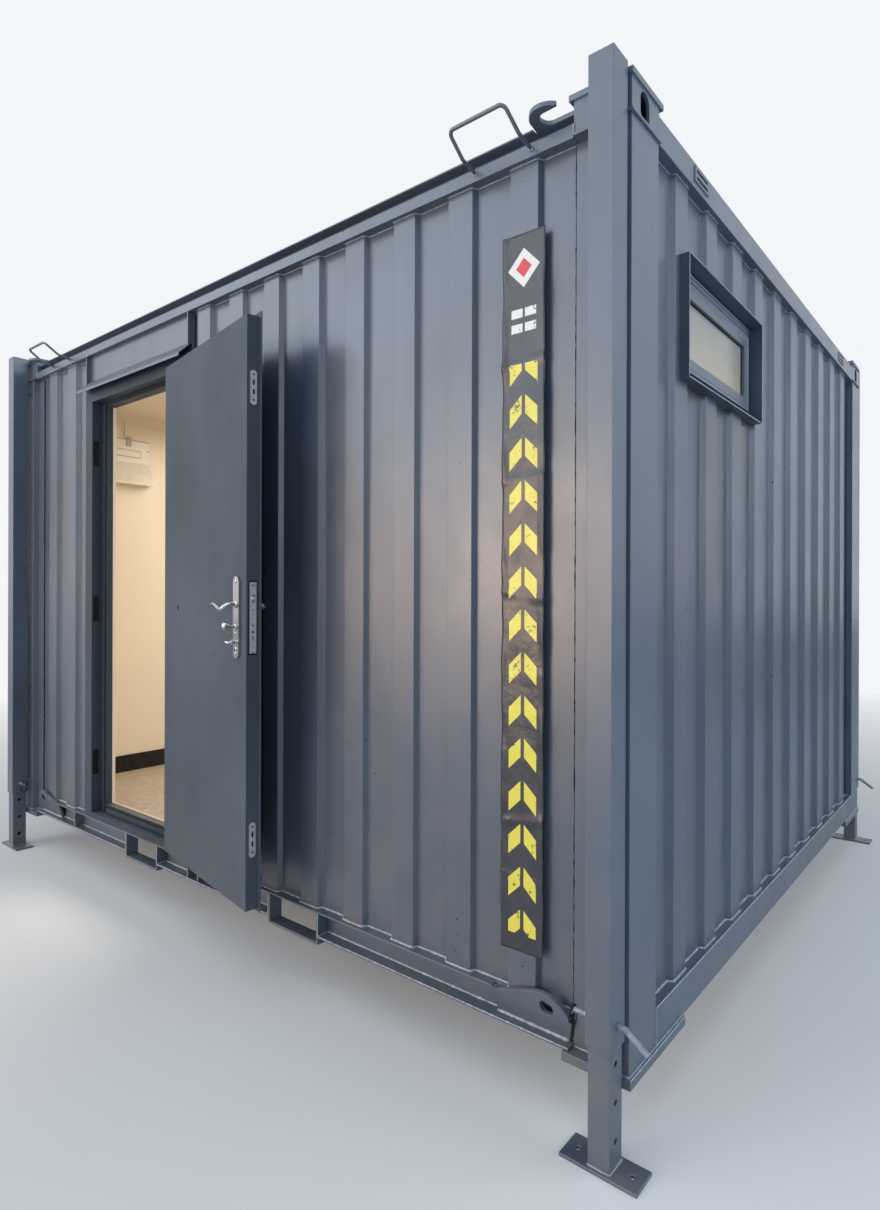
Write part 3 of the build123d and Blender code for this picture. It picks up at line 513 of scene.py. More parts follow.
# Places taken from the frame
post_lo, post_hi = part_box("corner_posts")
sheet_lo, sheet_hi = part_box("front_sheets")
plate_lo, plate_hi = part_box("corner_foot_plates")
jamb_lo, jamb_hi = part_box("door_jambs")
thresh_lo, thresh_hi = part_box("door_threshold")
HALF_L = post_hi[0]
HALF_W = post_hi[1]
FRONT = -HALF_W
FRAME_BOTTOM = post_lo[2]
LONG_FOOT = sheet_lo[2]
END_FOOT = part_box("window_end_sheet")[0][2]
HEAD_BOTTOM = sheet_hi[2]
CREST_Y = sheet_lo[1]
DOOR_LEFT = jamb_lo[0]
DOOR_RIGHT = jamb_hi[0]
REBATE_LEFT = thresh_lo[0]
REBATE_RIGHT = thresh_hi[0]
STOP_BOTTOM = thresh_hi[2]
STOP_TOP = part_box("door_lintel")[0][2]
JAMB_BACK = thresh_hi[1]

# Walls and corner posts: sizes that the frame's boxes don't give, as in the part's source
RIB_DEPTH = 17 * MM
RECESS_Y = CREST_Y + RIB_DEPTH
END_RECESS_X = HALF_L - 34 * MM
POST_EDGE_X = HALF_L - 177 * MM
POST_EDGE_Y = FRONT + 148 * MM
POST_CORNER = 112 * MM
POST_BEND = 6 * MM
POST_STEP = 29 * MM
CASTING_X = HALF_L - 168 * MM
BAND_TOP = HEAD_BOTTOM + 35 * MM
FOOT_OUT = 8 * MM
FOOT_LENGTH = 323 * MM

# Sills, fork pockets and lashing lugs
SILL_WEB = 44 * MM
SILL_T = 6 * MM
POCKET_X = 555 * MM
POCKET_HALF = 143 * MM
LUG_LEFT = HALF_L - 432 * MM
LUG_LENGTH = 243 * MM
LUG_IN = 29 * MM

# Rod loops and the slotted plates of the roof edge
LOOP_MIDDLES = (HALF_L - 402.5 * MM, 490 * MM - HALF_L)
LOOP_FOOT = 97.5 * MM
LOOP_FOOT_UP = 22 * MM
TAB_Y = FRONT + 438 * MM
TAB_SLOT_Z = (2598 * MM, 2618 * MM)
TAB_SLOT_HALF = 41 * MM
TAB_SLOT_H = 8 * MM

# Legs and their locking pins
LEG_X = HALF_L - 41 * MM
LEG_OUTER_HALF = 35 * MM
LEG_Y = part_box("leg_outer_tubes")[0][1] + LEG_OUTER_HALF
LEG_INNER_HALF = 30 * MM
BASE_T = 8 * MM
BRACKET_Z = (300 * MM, 2499 * MM)
BRACKET_HALF = 25 * MM
BRACKET_H = 62 * MM
PIN_Z = 350 * MM
PIN_END_X = HALF_L - 133 * MM

# Doorway and leaf, which is given as if shut
REBATE_BOTTOM = 316 * MM
REBATE_TOP = STOP_TOP + 18 * MM
REBATE_Y = FRONT + 47 * MM
STOP_WIDTH = 46 * MM
HINGE = Vector((-233 * MM, FRONT - 10.8 * MM, 0))
DOOR_OPEN = math.radians(170.8)
LEAF_LEFT = -1049 * MM
LEAF_OUT_Y = FRONT - 8 * MM
LEAF_T = 45 * MM
LEAF_IN_Y = LEAF_OUT_Y + LEAF_T
PLATE_T = 8 * MM
PLATE_Y = LEAF_IN_Y + PLATE_T
SPINDLE_X = LEAF_LEFT + 67 * MM
SPINDLE_Z = 1352 * MM
KNOB_Z = 1278 * MM
SNIB_Z = 1224 * MM
KEYHOLE_Z = 1202 * MM
LATCH_Z = 1371 * MM
EDGE_HALF = 11 * MM
EDGE_PLATE = (1187 * MM, 1425 * MM)
OVAL_PLATES = (560 * MM, 2080 * MM)
OVAL_STRAIGHT = 94 * MM

# Tolerances for the points of a sheet's outline, and the gap along it at which a new run starts, in metres
SAME_LEVEL = 0.5 * MM
SAME_DEPTH = 0.4 * MM
OPENING_GAP = 0.5


def outline(node, axis, side, level):
    """The outer profile of a ribbed sheet at one height, as runs of points along the wall."""
    across = 1 - axis
    found = {}
    for v in nodes[node].data.vertices:
        if abs(v.co.z - level) < SAME_LEVEL:
            out = v.co[across] * side
            found.setdefault(round(v.co[axis], 5), []).append(out)
    proud = max(max(values) for values in found.values())
    line = []
    for along in sorted(found):
        out = max(found[along])
        if out > proud - SAME_DEPTH or abs(out - proud + RIB_DEPTH) < SAME_DEPTH:
            point = [0.0, 0.0, level]
            point[axis] = along
            point[across] = out * side
            line.append(point)
    runs = [[line[0]]]
    for p in line[1:]:
        if abs(p[axis] - runs[-1][-1][axis]) > OPENING_GAP:
            runs.append([])
        runs[-1].append(p)
    return runs


# Weld beads where the sheets meet the sills and the head rails, lighter than the paint as a painted highlight
BEAD_OUT = 1.0 * MM
WALLS = (("front_sheets", 0, -1, LONG_FOOT), ("rear_sheet", 0, 1, LONG_FOOT),
         ("window_end_sheet", 1, 1, END_FOOT), ("plain_end_sheet", 1, -1, END_FOOT))
foot_beads = []
head_beads = []
seed = 10
for node, axis, side, foot_level in WALLS:
    for level, lift, radius, beads in ((foot_level, 1.2, 3.8, foot_beads),
                                       (HEAD_BOTTOM, -1.0, 2.6, head_beads)):
        for run in outline(node, axis, side, level):
            for p in run:
                p[1 - axis] += side * BEAD_OUT
                p[2] += lift * MM
            seed += 1
            beads.append(bead(run, radius, seed, ripple=0.34))
piece("sheet_foot_beads", foot_beads, bead_painted_highlight, smooth=True)
piece("sheet_head_beads", head_beads, bead_grey_painted_highlight, smooth=True)

# Ridge along the outer top edge of the end sills and of the foot plates, light as a painted highlight on
# their rounded edges
RIDGE_IN = 0.8 * MM
RIDGE_DOWN = 0.6 * MM
plate_top = plate_hi[2]
sill_x = HALF_L - RIDGE_IN
sill_y = -POST_EDGE_Y - 4 * MM
sill_z = END_FOOT - RIDGE_DOWN
plate_x = HALF_L + FOOT_OUT - RIDGE_IN
plate_z = plate_top - RIDGE_DOWN
sill_line = [(sill_x, -sill_y, sill_z), (sill_x, sill_y, sill_z)]
plate_line = [(plate_x, FRONT - FOOT_OUT + 1 * MM, plate_z), (plate_x, FRONT + FOOT_LENGTH - 1 * MM, plate_z)]
ridges = [bead(sill_line, radius=2.2, seed=28, ripple=0.3)]
ridges += both_walls([bead(plate_line, radius=2.0, seed=29, ripple=0.4)])
piece("ridge_painted_highlights", both_ends(ridges), bead_painted_highlight, smooth=True)

# Painted shade: dark beads in the joints beside the posts and the door surround
SEAM_ASIDE = 0.8 * MM
DOOR_SEAM_ASIDE = 0.6 * MM
seams = []
for side in (-1, 1):
    long_seam = bead_up(side * (POST_EDGE_X - SEAM_ASIDE), RECESS_Y - BEAD_OUT, LONG_FOOT, HEAD_BOTTOM,
                        radius=3.8, seed=31, step=0.012)
    end_seam = bead_up(END_RECESS_X + BEAD_OUT, side * (POST_EDGE_Y + SEAM_ASIDE), END_FOOT, HEAD_BOTTOM,
                       radius=3.0, seed=35, ripple=0.3, step=0.012)
    seams += both_walls([long_seam]) + both_ends([end_seam])
for x in (DOOR_LEFT - DOOR_SEAM_ASIDE, DOOR_RIGHT + DOOR_SEAM_ASIDE):
    seams.append(bead_up(x, RECESS_Y - DOOR_SEAM_ASIDE, LONG_FOOT, HEAD_BOTTOM,
                         radius=2.2, seed=33, ripple=0.3, step=0.02))
piece("seams", seams, seam_painted_shade, smooth=True)

# Weld beads of the corner frame: castings, foot plates and the ends of the end sills
step_y = FRONT + POST_STEP - 2 * MM
foot_z = plate_top + 1.5 * MM
under_x = HALF_L + 4 * MM
under_z = plate_lo[2] + 1.0 * MM
post_foot = [
    (POST_EDGE_X, step_y, foot_z),
    (HALF_L - POST_CORNER - POST_BEND, step_y, foot_z),
    (HALF_L - POST_CORNER, FRONT - 1.0 * MM, foot_z),
    (HALF_L + 0.5 * MM, FRONT - 1.0 * MM, foot_z),
    (HALF_L + 0.5 * MM, FRONT + FOOT_LENGTH - 5 * MM, foot_z),
]
under_plate = [(under_x, FRONT - 1 * MM, under_z), (under_x, FRONT + FOOT_LENGTH - 23 * MM, under_z)]
end_sill_end = [
    (END_RECESS_X, POST_EDGE_Y + 2 * MM, END_FOOT + 1.5 * MM),
    (HALF_L + 0.3 * MM, POST_EDGE_Y + 1 * MM, END_FOOT - 0.5 * MM),
    (HALF_L + 0.6 * MM, POST_EDGE_Y + 1 * MM, FRAME_BOTTOM + 2 * MM),
]
corner_beads = [
    bead_up(CASTING_X, FRONT - 0.6 * MM, HEAD_BOTTOM, BAND_TOP, radius=2.8, seed=41),
    bead(post_foot, radius=3.2, seed=42),
    bead(under_plate, radius=2.0, seed=43),
    bead(end_sill_end, radius=2.2, seed=44),
]
frame_beads = both_walls(both_ends(corner_beads))

# Weld rings round the feet of the rod loops
RING_SIDES = 16
RING_HALF_W = 6.6 * MM
RING_HALF_H = 6.9 * MM
ring_y = FRONT - 0.8 * MM
loop_foot_z = HEAD_BOTTOM + LOOP_FOOT_UP
for middle in LOOP_MIDDLES:
    for x in (middle - LOOP_FOOT, middle + LOOP_FOOT):
        ring = []
        for i in range(RING_SIDES + 1):
            a = 2 * math.pi * i / RING_SIDES
            ring.append((x + RING_HALF_W * math.cos(a), ring_y, loop_foot_z + RING_HALF_H * math.sin(a)))
        frame_beads += both_walls([tube(ring, 2.4, sides=6, ripple=0.25, seed=51)])
piece("frame_beads", frame_beads, bead_grey_painted_highlight, smooth=True)

# Ragged beads along the channel sills, the fork pockets and the lashing lugs, bright as a painted highlight
web_y = FRONT + SILL_WEB - 1.2 * MM
flange = FRAME_BOTTOM + SILL_T
pocket_inner = POCKET_X - POCKET_HALF
pocket_outer = POCKET_X + POCKET_HALF
sill_beads = []
for x0, x1 in ((-POST_EDGE_X, -pocket_outer), (-pocket_inner, pocket_inner), (pocket_outer, POST_EDGE_X)):
    sill_beads.append(bead_along(x0, x1, web_y, flange + 1.2 * MM, radius=4.0, seed=61, ripple=0.35))
    sill_beads.append(bead_along(x0, x1, FRONT + 0.8 * MM, flange - 0.6 * MM,
                                 radius=1.9, seed=62, ripple=0.5))
strap_z = flange + 1 * MM
for middle in (-POCKET_X, POCKET_X):
    for side in (-1, 1):
        x = middle + side * (POCKET_HALF + 0.5 * MM)
        strap_line = [(x, FRONT + 2 * MM, strap_z), (x, web_y, strap_z)]
        sill_beads.append(bead_up(x, FRONT - 0.4 * MM, FRAME_BOTTOM, LONG_FOOT - 7 * MM,
                                  radius=2.2, seed=63, ripple=0.4))
        sill_beads.append(bead(strap_line, radius=2.6, seed=64, ripple=0.4))
lug_x0 = LUG_LEFT + 2 * MM
lug_x1 = LUG_LEFT + LUG_LENGTH - 2 * MM
for side, lug_seed in ((1, 65), (-1, 66)):
    sill_beads.append(bead_along(side * lug_x0, side * lug_x1, FRONT + LUG_IN, flange + 1.5 * MM,
                                 radius=5.0, seed=lug_seed, ripple=0.45))
piece("sill_beads", both_walls(sill_beads), bead_painted_highlight, smooth=True)

# Weld blobs on the leg brackets and at the inner tubes' feet
leg_beads = []
for z0 in BRACKET_Z:
    for x in (LEG_X - BRACKET_HALF, LEG_X + BRACKET_HALF):
        for y in (LEG_Y + LEG_OUTER_HALF + 1 * MM, FRONT - 1.0 * MM):
            leg_beads.append(bead_up(x, y, z0, z0 + BRACKET_H, radius=3.2, seed=71, ripple=0.45, step=0.005))
    for z in (z0, z0 + BRACKET_H):
        leg_beads.append(bead_along(LEG_X - BRACKET_HALF, LEG_X + BRACKET_HALF, FRONT - 1.0 * MM, z,
                                    radius=3.0, seed=72, ripple=0.45, step=0.005))
reach = LEG_INNER_HALF + 0.5 * MM
foot_ring = [(LEG_X + i * reach, LEG_Y + j * reach, BASE_T + 1 * MM)
             for i, j in ((-1, -1), (1, -1), (1, 1), (-1, 1), (-1, -1))]
leg_beads.append(bead(foot_ring, radius=3.4, seed=73, ripple=0.3))
piece("leg_beads", both_walls(both_ends(leg_beads)), bead_grey_painted_highlight, smooth=True)

# Painted shade: dark backs in the slots of the small end plates, for the shade inside them
slot_painted_shade = []
for z in TAB_SLOT_Z:
    slot_painted_shade.append(cuboid(HALF_L - 0.5 * MM, HALF_L + 0.6 * MM,
                             TAB_Y - TAB_SLOT_HALF, TAB_Y + TAB_SLOT_HALF,
                             z - TAB_SLOT_H / 2, z + TAB_SLOT_H / 2))
piece("slot_painted_shade", both_ends(both_walls(slot_painted_shade)), seal_black)

# Wire clips through the ends of the locking pins
CLIP_SIDES = 24
CLIP_HALF_H = 24 * MM
CLIP_HALF_W = 15 * MM
CLIP_UP = 10 * MM
clips = []
for shift, lean, seed in ((0.0, 0.1, 1), (5 * MM, -0.25, 2)):
    loop = []
    for i in range(CLIP_SIDES + 1):
        a = 2 * math.pi * i / CLIP_SIDES
        drop = CLIP_HALF_H * (1 - math.cos(a))
        across = CLIP_HALF_W * math.sin(a) * (1 + 0.2 * lean)
        loop.append((PIN_END_X + shift + lean * drop, LEG_Y + across, PIN_Z + CLIP_UP - drop))
    clips.append(tube(loop, 1.3, sides=6, ripple=0.05, seed=seed))
piece("wire_clips", both_walls(both_ends(clips)), seal_black, smooth=True)

# Rubber gaskets round the door rebate, two screws in its left part, and the ribs of the threshold
SEAL_T = 4 * MM
SEAL_NEAR = 2 * MM
SEAL_FAR = 12 * MM
STRIKE_SCREW_Z = (416 * MM, 1546 * MM)
stop_left = REBATE_LEFT + STOP_WIDTH
stop_right = REBATE_RIGHT - STOP_WIDTH
seal_y = REBATE_Y - SEAL_T
gaskets = [
    cuboid(stop_left - SEAL_FAR, stop_left - SEAL_NEAR, seal_y, REBATE_Y, REBATE_BOTTOM, REBATE_TOP),
    cuboid(stop_right + SEAL_NEAR, stop_right + SEAL_FAR, seal_y, REBATE_Y, REBATE_BOTTOM, REBATE_TOP),
    cuboid(stop_left, stop_right, seal_y, REBATE_Y, STOP_TOP + SEAL_NEAR, STOP_TOP + SEAL_FAR),
    cuboid(stop_left, stop_right, seal_y, REBATE_Y, STOP_BOTTOM - SEAL_FAR, STOP_BOTTOM - SEAL_NEAR),
]
for z in STRIKE_SCREW_Z:
    gaskets.append(disc((REBATE_LEFT + 22 * MM, REBATE_Y - 0.6 * MM, z), ALONG_Y, 0, 0.5, 4, 20))
piece("door_gaskets", gaskets, seal_black)
TREADS = 4
TREAD_PITCH = 8 * MM
TREAD_W = 2.5 * MM
treads = []
for i in range(TREADS):
    y = REBATE_Y + TREAD_PITCH * (i + 1)
    treads.append(cuboid(stop_left + 4 * MM, stop_right - 4 * MM, y, y + TREAD_W,
                         STOP_BOTTOM - 0.5 * MM, STOP_BOTTOM + 1.6 * MM))
piece("threshold_ribs", treads, steel)


# The leaf's own pieces are placed as on the shut leaf and swung with it
def swung(parts):
    """The parts, turned about the hinges to where the leaf stands open."""
    out = []
    for verts, faces in parts:
        moved = []
        for v in verts:
            d = Vector(v) - HINGE
            moved.append((HINGE.x + d.x * math.cos(DOOR_OPEN) - d.y * math.sin(DOOR_OPEN),
                          HINGE.y + d.x * math.sin(DOOR_OPEN) + d.y * math.cos(DOOR_OPEN), v[2]))
        out.append((moved, faces))
    return out


def on_plate(z, along=0, out_by=0):
    """A place at a height on the inner back plate, in millimetres from the spindle's line and the plate."""
    return (SPINDLE_X + along * MM, PLATE_Y + out_by * MM, z)


def turned_on_plate(z, out_by, rings):
    """A turned part that stands on the inner back plate, on the spindle's line."""
    return lathe(on_plate(z, out_by=out_by), ALONG_Y, rings, 24)


# Inner back plate: knob, roses of the knob, the lever and the keyhole, snib, and screws by height and radius
SCREWS = ((1254 * MM, 5), (1430 * MM, 7), (1185 * MM, 6))
snib_points = [on_plate(SNIB_Z, 0, 12), on_plate(SNIB_Z - 3 * MM, 10, 22), on_plate(SNIB_Z + 1 * MM, 22, 26)]
snib_path = rounded(snib_points, 4)
snib_radii = [5 * (1 - 0.3 * i / (len(snib_path) - 1)) for i in range(len(snib_path))]
details = [
    turned_on_plate(KNOB_Z, 26, [(0, 7), (5, 12), (11, 14), (17, 11.5), (20, 5)]),
    turned_on_plate(KNOB_Z - 3 * MM, -0.5, [(0, 12), (5, 11), (6, 8)]),
    turned_on_plate(SPINDLE_Z, -0.5, [(0, 14), (5, 13), (6, 9)]),
    turned_on_plate(KEYHOLE_Z - 2 * MM, -0.5, [(0, 9), (2, 9), (3, 8)]),
    tube(snib_path, snib_radii, 10),
]
for z, r in SCREWS:
    details.append(dome(on_plate(z), ALONG_Y, r, 3))
piece("lock_trim", swung(details), chrome, "door", smooth=True)

# Edge of the leaf: bright faces of the lock's plate and of the two oval plates, and the latch's head
OUT_OF_EDGE = (-1, 0, 0)
OVAL_SIDES = 24
cover_x = LEAF_LEFT - 2.3 * MM
cover_y = LEAF_OUT_Y + 23 * MM
latch_x = LEAF_LEFT - 3.8 * MM


def edge_slab(x0, x1, half, z0, z1):
    """A slab on the leaf's edge, given by its half width and its heights."""
    return cuboid(x0, x1, cover_y - half, cover_y + half, z0, z1)


covers = [edge_slab(cover_x - 0.2 * MM, cover_x + 0.4 * MM, EDGE_HALF, *EDGE_PLATE)]
covers.append(dome((latch_x, cover_y, LATCH_Z), OUT_OF_EDGE, 6.6, 2.2, 16))
for z in OVAL_PLATES:
    inner = []
    for i in range(OVAL_SIDES):
        a = 2 * math.pi * (i + 0.5) / OVAL_SIDES
        up = EDGE_HALF * math.sin(a) + math.copysign(OVAL_STRAIGHT / 2, math.sin(a))
        inner.append((cover_x + 0.1 * MM, cover_y + EDGE_HALF * math.cos(a), z + up))
    outer = [(x - 0.3 * MM, y, h) for x, y, h in inner]
    covers.append(skinned(outer + inner, OVAL_SIDES))
piece("edge_covers", swung(covers), bright_steel, "door")

# Painted shade: dark discs, slots and a border round the lock's plate stand for holes and gaps. In
# millimetres: across, height and radius on the lock's plate; up and half length on the ovals
EDGE_HOLES = ((0, 1332, 2.6), (0, 1304, 2.0), (0, 1281, 2.8), (0, 1258, 3.6), (0, 1190, 2.4),
              (-4, 1415, 2.6), (4, 1415, 2.6))
OVAL_SLOTS = ((-42, 3), (-14, 9), (18, 9), (44, 3))
EDGE_SLOT = (1232 * MM, 1245 * MM)
MORTISE_ASIDE = 4.5 * MM
MORTISE_OVER = 6 * MM
LEAF_HOLE = (-400 * MM, LEAF_IN_Y, 1332 * MM)
LOW_LEAF_HOLE = (-524 * MM, LEAF_IN_Y, 330 * MM)
hole_x = cover_x - 0.2 * MM
keyhole_y = PLATE_Y + 2.4 * MM
slit_foot = KEYHOLE_Z - 8 * MM
holes = [
    edge_slab(LEAF_LEFT - 0.5 * MM, LEAF_LEFT + 0.1 * MM, EDGE_HALF + MORTISE_ASIDE,
              EDGE_PLATE[0] - MORTISE_OVER, EDGE_PLATE[1] + MORTISE_OVER),
    edge_slab(hole_x - 0.3 * MM, hole_x, 1.5 * MM, *EDGE_SLOT),
    disc((SPINDLE_X, keyhole_y, KEYHOLE_Z), ALONG_Y, 0, 0.4, 2.4, 12),
    cuboid(SPINDLE_X - 1 * MM, SPINDLE_X + 1 * MM, keyhole_y, keyhole_y + 0.4 * MM, slit_foot, KEYHOLE_Z),
    disc(LEAF_HOLE, ALONG_Y, -0.5, 0.8, 8.5, 16),
    disc(LOW_LEAF_HOLE, ALONG_Y, -0.5, 0.5, 4, 12),
]
for across, z, r in EDGE_HOLES:
    holes.append(disc((hole_x, cover_y + across * MM, z * MM), OUT_OF_EDGE, 0, 0.3, r, 14))
for z in OVAL_PLATES:
    for up, half in OVAL_SLOTS:
        holes.append(edge_slab(hole_x - 0.3 * MM, hole_x + 0.2 * MM, 3 * MM,
                               z + (up - half) * MM, z + (up + half) * MM))
piece("lock_holes_painted_shade", swung(holes), seal_black, "door")

# S-shaped lever handles on one spindle, in millimetres: points along the leaf, out from the plate and up
LEVER_POINTS = ((0, -12, 0), (0, 6, 0), (0, 24, -1), (2, 36, -7), (10, 41, -14), (26, 42, -17), (46, 42, -11),
                (70, 41, -3), (94, 39, 1), (112, 37, -2), (119, 36, -4))
SPINDLE_LENGTH = 49
SPINDLE_R = 5
LEVER_R = 8.4
LEVER_TAPER = 2.2
LEVER_TIP = [5.6, 4.2, 1.6]
handles = []
for face_y, out_sign in ((PLATE_Y, 1), (LEAF_OUT_Y - PLATE_T, -1)):
    path = rounded([(SPINDLE_X + along * MM, face_y + out_sign * out_by * MM, SPINDLE_Z + up * MM)
                    for along, out_by, up in LEVER_POINTS])
    radii = [LEVER_R - LEVER_TAPER * i / len(path) for i in range(len(path))]
    radii[-3:] = LEVER_TIP
    handles.append(tube(path, radii, 14))
handles.append(disc((SPINDLE_X, LEAF_OUT_Y - 2 * MM, SPINDLE_Z), ALONG_Y, 0, SPINDLE_LENGTH, SPINDLE_R, 12))
levers = piece("lever_pair", swung(handles), chrome, "lever", smooth=True)
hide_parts("lever_handles")

# Banner: thin printed vinyl, pulled over one rib, with free wavy edges and a few creases
banner_lo, banner_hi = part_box("banner")
BANNER_W = banner_hi[0] - banner_lo[0]
BANNER_H = banner_hi[2] - banner_lo[2]
BANNER_X = (banner_lo[0] + banner_hi[0]) / 2
BANNER_T = 0.8 * MM
COLUMNS = 22
ROWS = 240

# Share of the half width that lies on the rib; creases by height in metres, rise in millimetres and slope
HELD = 0.62
CREASE_WIDTH = 0.011
CREASES = ((1.62, 5.0, 0.10), (0.98, 4.0, -0.16), (0.36, 4.5, 0.14), (0.20, 3.0, -0.1), (1.30, 3.2, 0.05))


def banner_lift(u, h):
    """How far the vinyl stands off the rib, in millimetres, at -1 to 1 across and a height in metres."""
    free = max(0.0, (abs(u) - HELD) / (1 - HELD))
    free = free * free * (3 - 2 * free)
    lift = 0.6 + 0.5 * math.sin(9.0 * h + 1.3 * u) ** 2
    lift += free * (2.2 + 2.0 * math.sin(21.0 * h + 2.0 * u) + 1.1 * math.sin(47.0 * h + 5.0 * u))
    for at, high, slope in CREASES:
        fold = math.exp(-((h - at - slope * 0.07 * u) / CREASE_WIDTH) ** 2)
        lift += high * (0.25 + 0.75 * abs(u)) * fold
    return 0.9 + max(0.0, lift)


def banner_sheet():
    """The vinyl's front and back with the rim between them."""
    front = []
    for j in range(ROWS + 1):
        for i in range(COLUMNS + 1):
            u = 2 * i / COLUMNS - 1
            h = BANNER_H * j / ROWS
            front.append((BANNER_X + u * BANNER_W / 2, CREST_Y - banner_lift(u, h) * MM, banner_lo[2] + h))
    back = [(x, y + BANNER_T, z) for x, y, z in front]
    wide = COLUMNS + 1
    faces = []
    for j in range(ROWS):
        for i in range(COLUMNS):
            a = j * wide + i
            faces.append((a, a + 1, a + wide + 1, a + wide))
    count = len(front)
    faces += [tuple(k + count for k in f[::-1]) for f in faces]
    rim = list(range(wide)) + [j * wide + COLUMNS for j in range(1, ROWS + 1)]
    rim += [ROWS * wide + i for i in range(COLUMNS - 1, -1, -1)] + [j * wide for j in range(ROWS - 1, 0, -1)]
    for a, b in zip(rim, rim[1:] + rim[:1]):
        faces.append((b, a, a + count, b + count))
    return front + back, faces


vinyl_banner = piece("banner_vinyl", [banner_sheet()], printed_vinyl(), smooth=True)
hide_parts("banner")

# Window: gasket round the pane, lines of the sliding track, light lines round the sash as a painted highlight
# on its edges, and dark strips in the gaps between the frames as painted shade
pane_lo, pane_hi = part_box("window_pane")
fixed_lo, fixed_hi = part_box("window_frame")
sash_lo, sash_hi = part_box("window_sash")
around_lo, around_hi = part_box("window_surround")
pane_x = pane_hi[0]
fixed_x = fixed_hi[0]
sash_x = sash_hi[0]
GAP = 3 * MM
GASKET_T = 2.5 * MM
GASKET_W = 4 * MM
TRACKS_UP = (8 * MM, 18 * MM, 28 * MM)
TRACKS_DOWN = (10 * MM, 22 * MM)
pane_gasket = end_strips(pane_x, pane_x + GASKET_T, pane_lo, pane_hi, GASKET_W)
piece("pane_gasket", pane_gasket, seal_black)
track = []
for z in [fixed_lo[2] + up for up in TRACKS_UP] + [fixed_hi[2] - down for down in TRACKS_DOWN]:
    line = [(fixed_x, fixed_lo[1] + 2 * MM, z), (fixed_x, fixed_hi[1] - 2 * MM, z)]
    track.append(bead(line, 2.2, seed=81, ripple=0.0, step=0.2))
for inset, radius, seed in ((2 * MM, 2.0, 82), (14 * MM, 1.5, 83)):
    line = end_rectangle(sash_x, sash_lo, sash_hi, inset)
    track.append(bead(line, radius, seed, ripple=0.0, step=0.2))
piece("window_lines", track, bead_grey_painted_highlight, smooth=True)
sash_gap_lo = [value - GAP for value in sash_lo]
sash_gap_hi = [value + GAP for value in sash_hi]
gap_lines = []
for lo, hi in ((sash_gap_lo, sash_gap_hi), (fixed_lo, fixed_hi)):
    gap_lines += end_strips(fixed_x - 0.3 * MM, fixed_x + 0.6 * MM, lo, hi, GAP)
piece("window_gap_painted_shade", gap_lines, seal_black)

# Painted highlight: a light bead round the rim of the window's surround; and the two small studs on its top
# edge
STUD_Y = (-0.915, -0.533)
rim_x = around_hi[0]
notches = []
for y in STUD_Y:
    notches.append(dome((rim_x - 1.5 * MM, y, around_hi[2] - 1 * MM), (0, 0, 1), 6, 4, 12))
notches.append(bead(end_rectangle(rim_x, around_lo, around_hi, 0.0), radius=1.3, seed=84, ripple=0.35))
piece("surround_notches", notches, bead_painted_highlight, smooth=True)

# Inside: trim under the ceiling and round the back of the doorway
far_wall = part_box("wall_heater")[0][0]
floor_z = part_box("floor_covering")[1][2]
wall_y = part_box("rear_lining")[0][1]
TRIM_T = 10 * MM
TRIM_H = 47 * MM
trim_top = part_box("ceiling_panel")[0][2]
trim_foot = trim_top - TRIM_H
trim_x = far_wall + TRIM_T
trim = both_ends([cuboid(far_wall, trim_x, -wall_y, wall_y, trim_foot, trim_top)])
trim += both_walls([cuboid(trim_x, -trim_x, wall_y - TRIM_T, wall_y, trim_foot, trim_top)])
for x0, x1 in ((stop_left - 8 * MM, stop_left + 1 * MM), (stop_right - 1 * MM, stop_right + 8 * MM)):
    trim.append(cuboid(x0, x1, JAMB_BACK - 12 * MM, JAMB_BACK + 2 * MM, STOP_BOTTOM, STOP_TOP))
trim.append(cuboid(stop_left, stop_right, JAMB_BACK - 3 * MM, JAMB_BACK + 2 * MM,
                   floor_z, STOP_BOTTOM + 1.5 * MM))
piece("inner_trim", trim, cream)

# The heater's lower rim, its blank plate with a grey border, its cleat and a screw: Y and Z in metres
UNIT_RIM = (-1.158, -0.738, 2.336, 2.342)
CLEAT = (-0.872, -0.846, 2.300, 2.356)
SCREW_PLACE = (-0.745, 2.284)
BLANK_Y = (-0.941, -0.789)
BLANK_Z = (2.233, 2.278)
BORDER = 5 * MM
trim_face = far_wall + 6 * MM
unit_trim = [
    cuboid(trim_face, trim_face + 2 * MM, *UNIT_RIM),
    cuboid(trim_face, trim_face + 2.5 * MM, *BLANK_Y, *BLANK_Z),
    cuboid(far_wall, trim_face + 6 * MM, *CLEAT),
    dome((trim_face, *SCREW_PLACE), (1, 0, 0), 5, 3),
]
piece("unit_trim", unit_trim, grey_plate)
unit_plate = cuboid(trim_face + 2 * MM, trim_face + 3.5 * MM, BLANK_Y[0] + BORDER, BLANK_Y[1] - BORDER,
                    BLANK_Z[0] + BORDER, BLANK_Z[1] - BORDER)
piece("unit_plate", [unit_plate], enamel)

# Camera, fitted to the photograph
cam = bpy.data.objects.new("camera", bpy.data.cameras.new("camera"))
bpy.context.scene.collection.objects.link(cam)
cam.location = (2.6961, -2.8939, 1.3761)
cam.rotation_euler = (math.radians(90) - 0.0006, -0.0033, 0.6203)
cam.data.sensor_width = 36.0
cam.data.lens = 20.72
cam.data.shift_x = -0.0770
cam.data.shift_y = -0.0055
cam.data.clip_start = 0.05
bpy.context.scene.camera = cam
bpy.context.scene.view_settings.view_transform = "Standard"

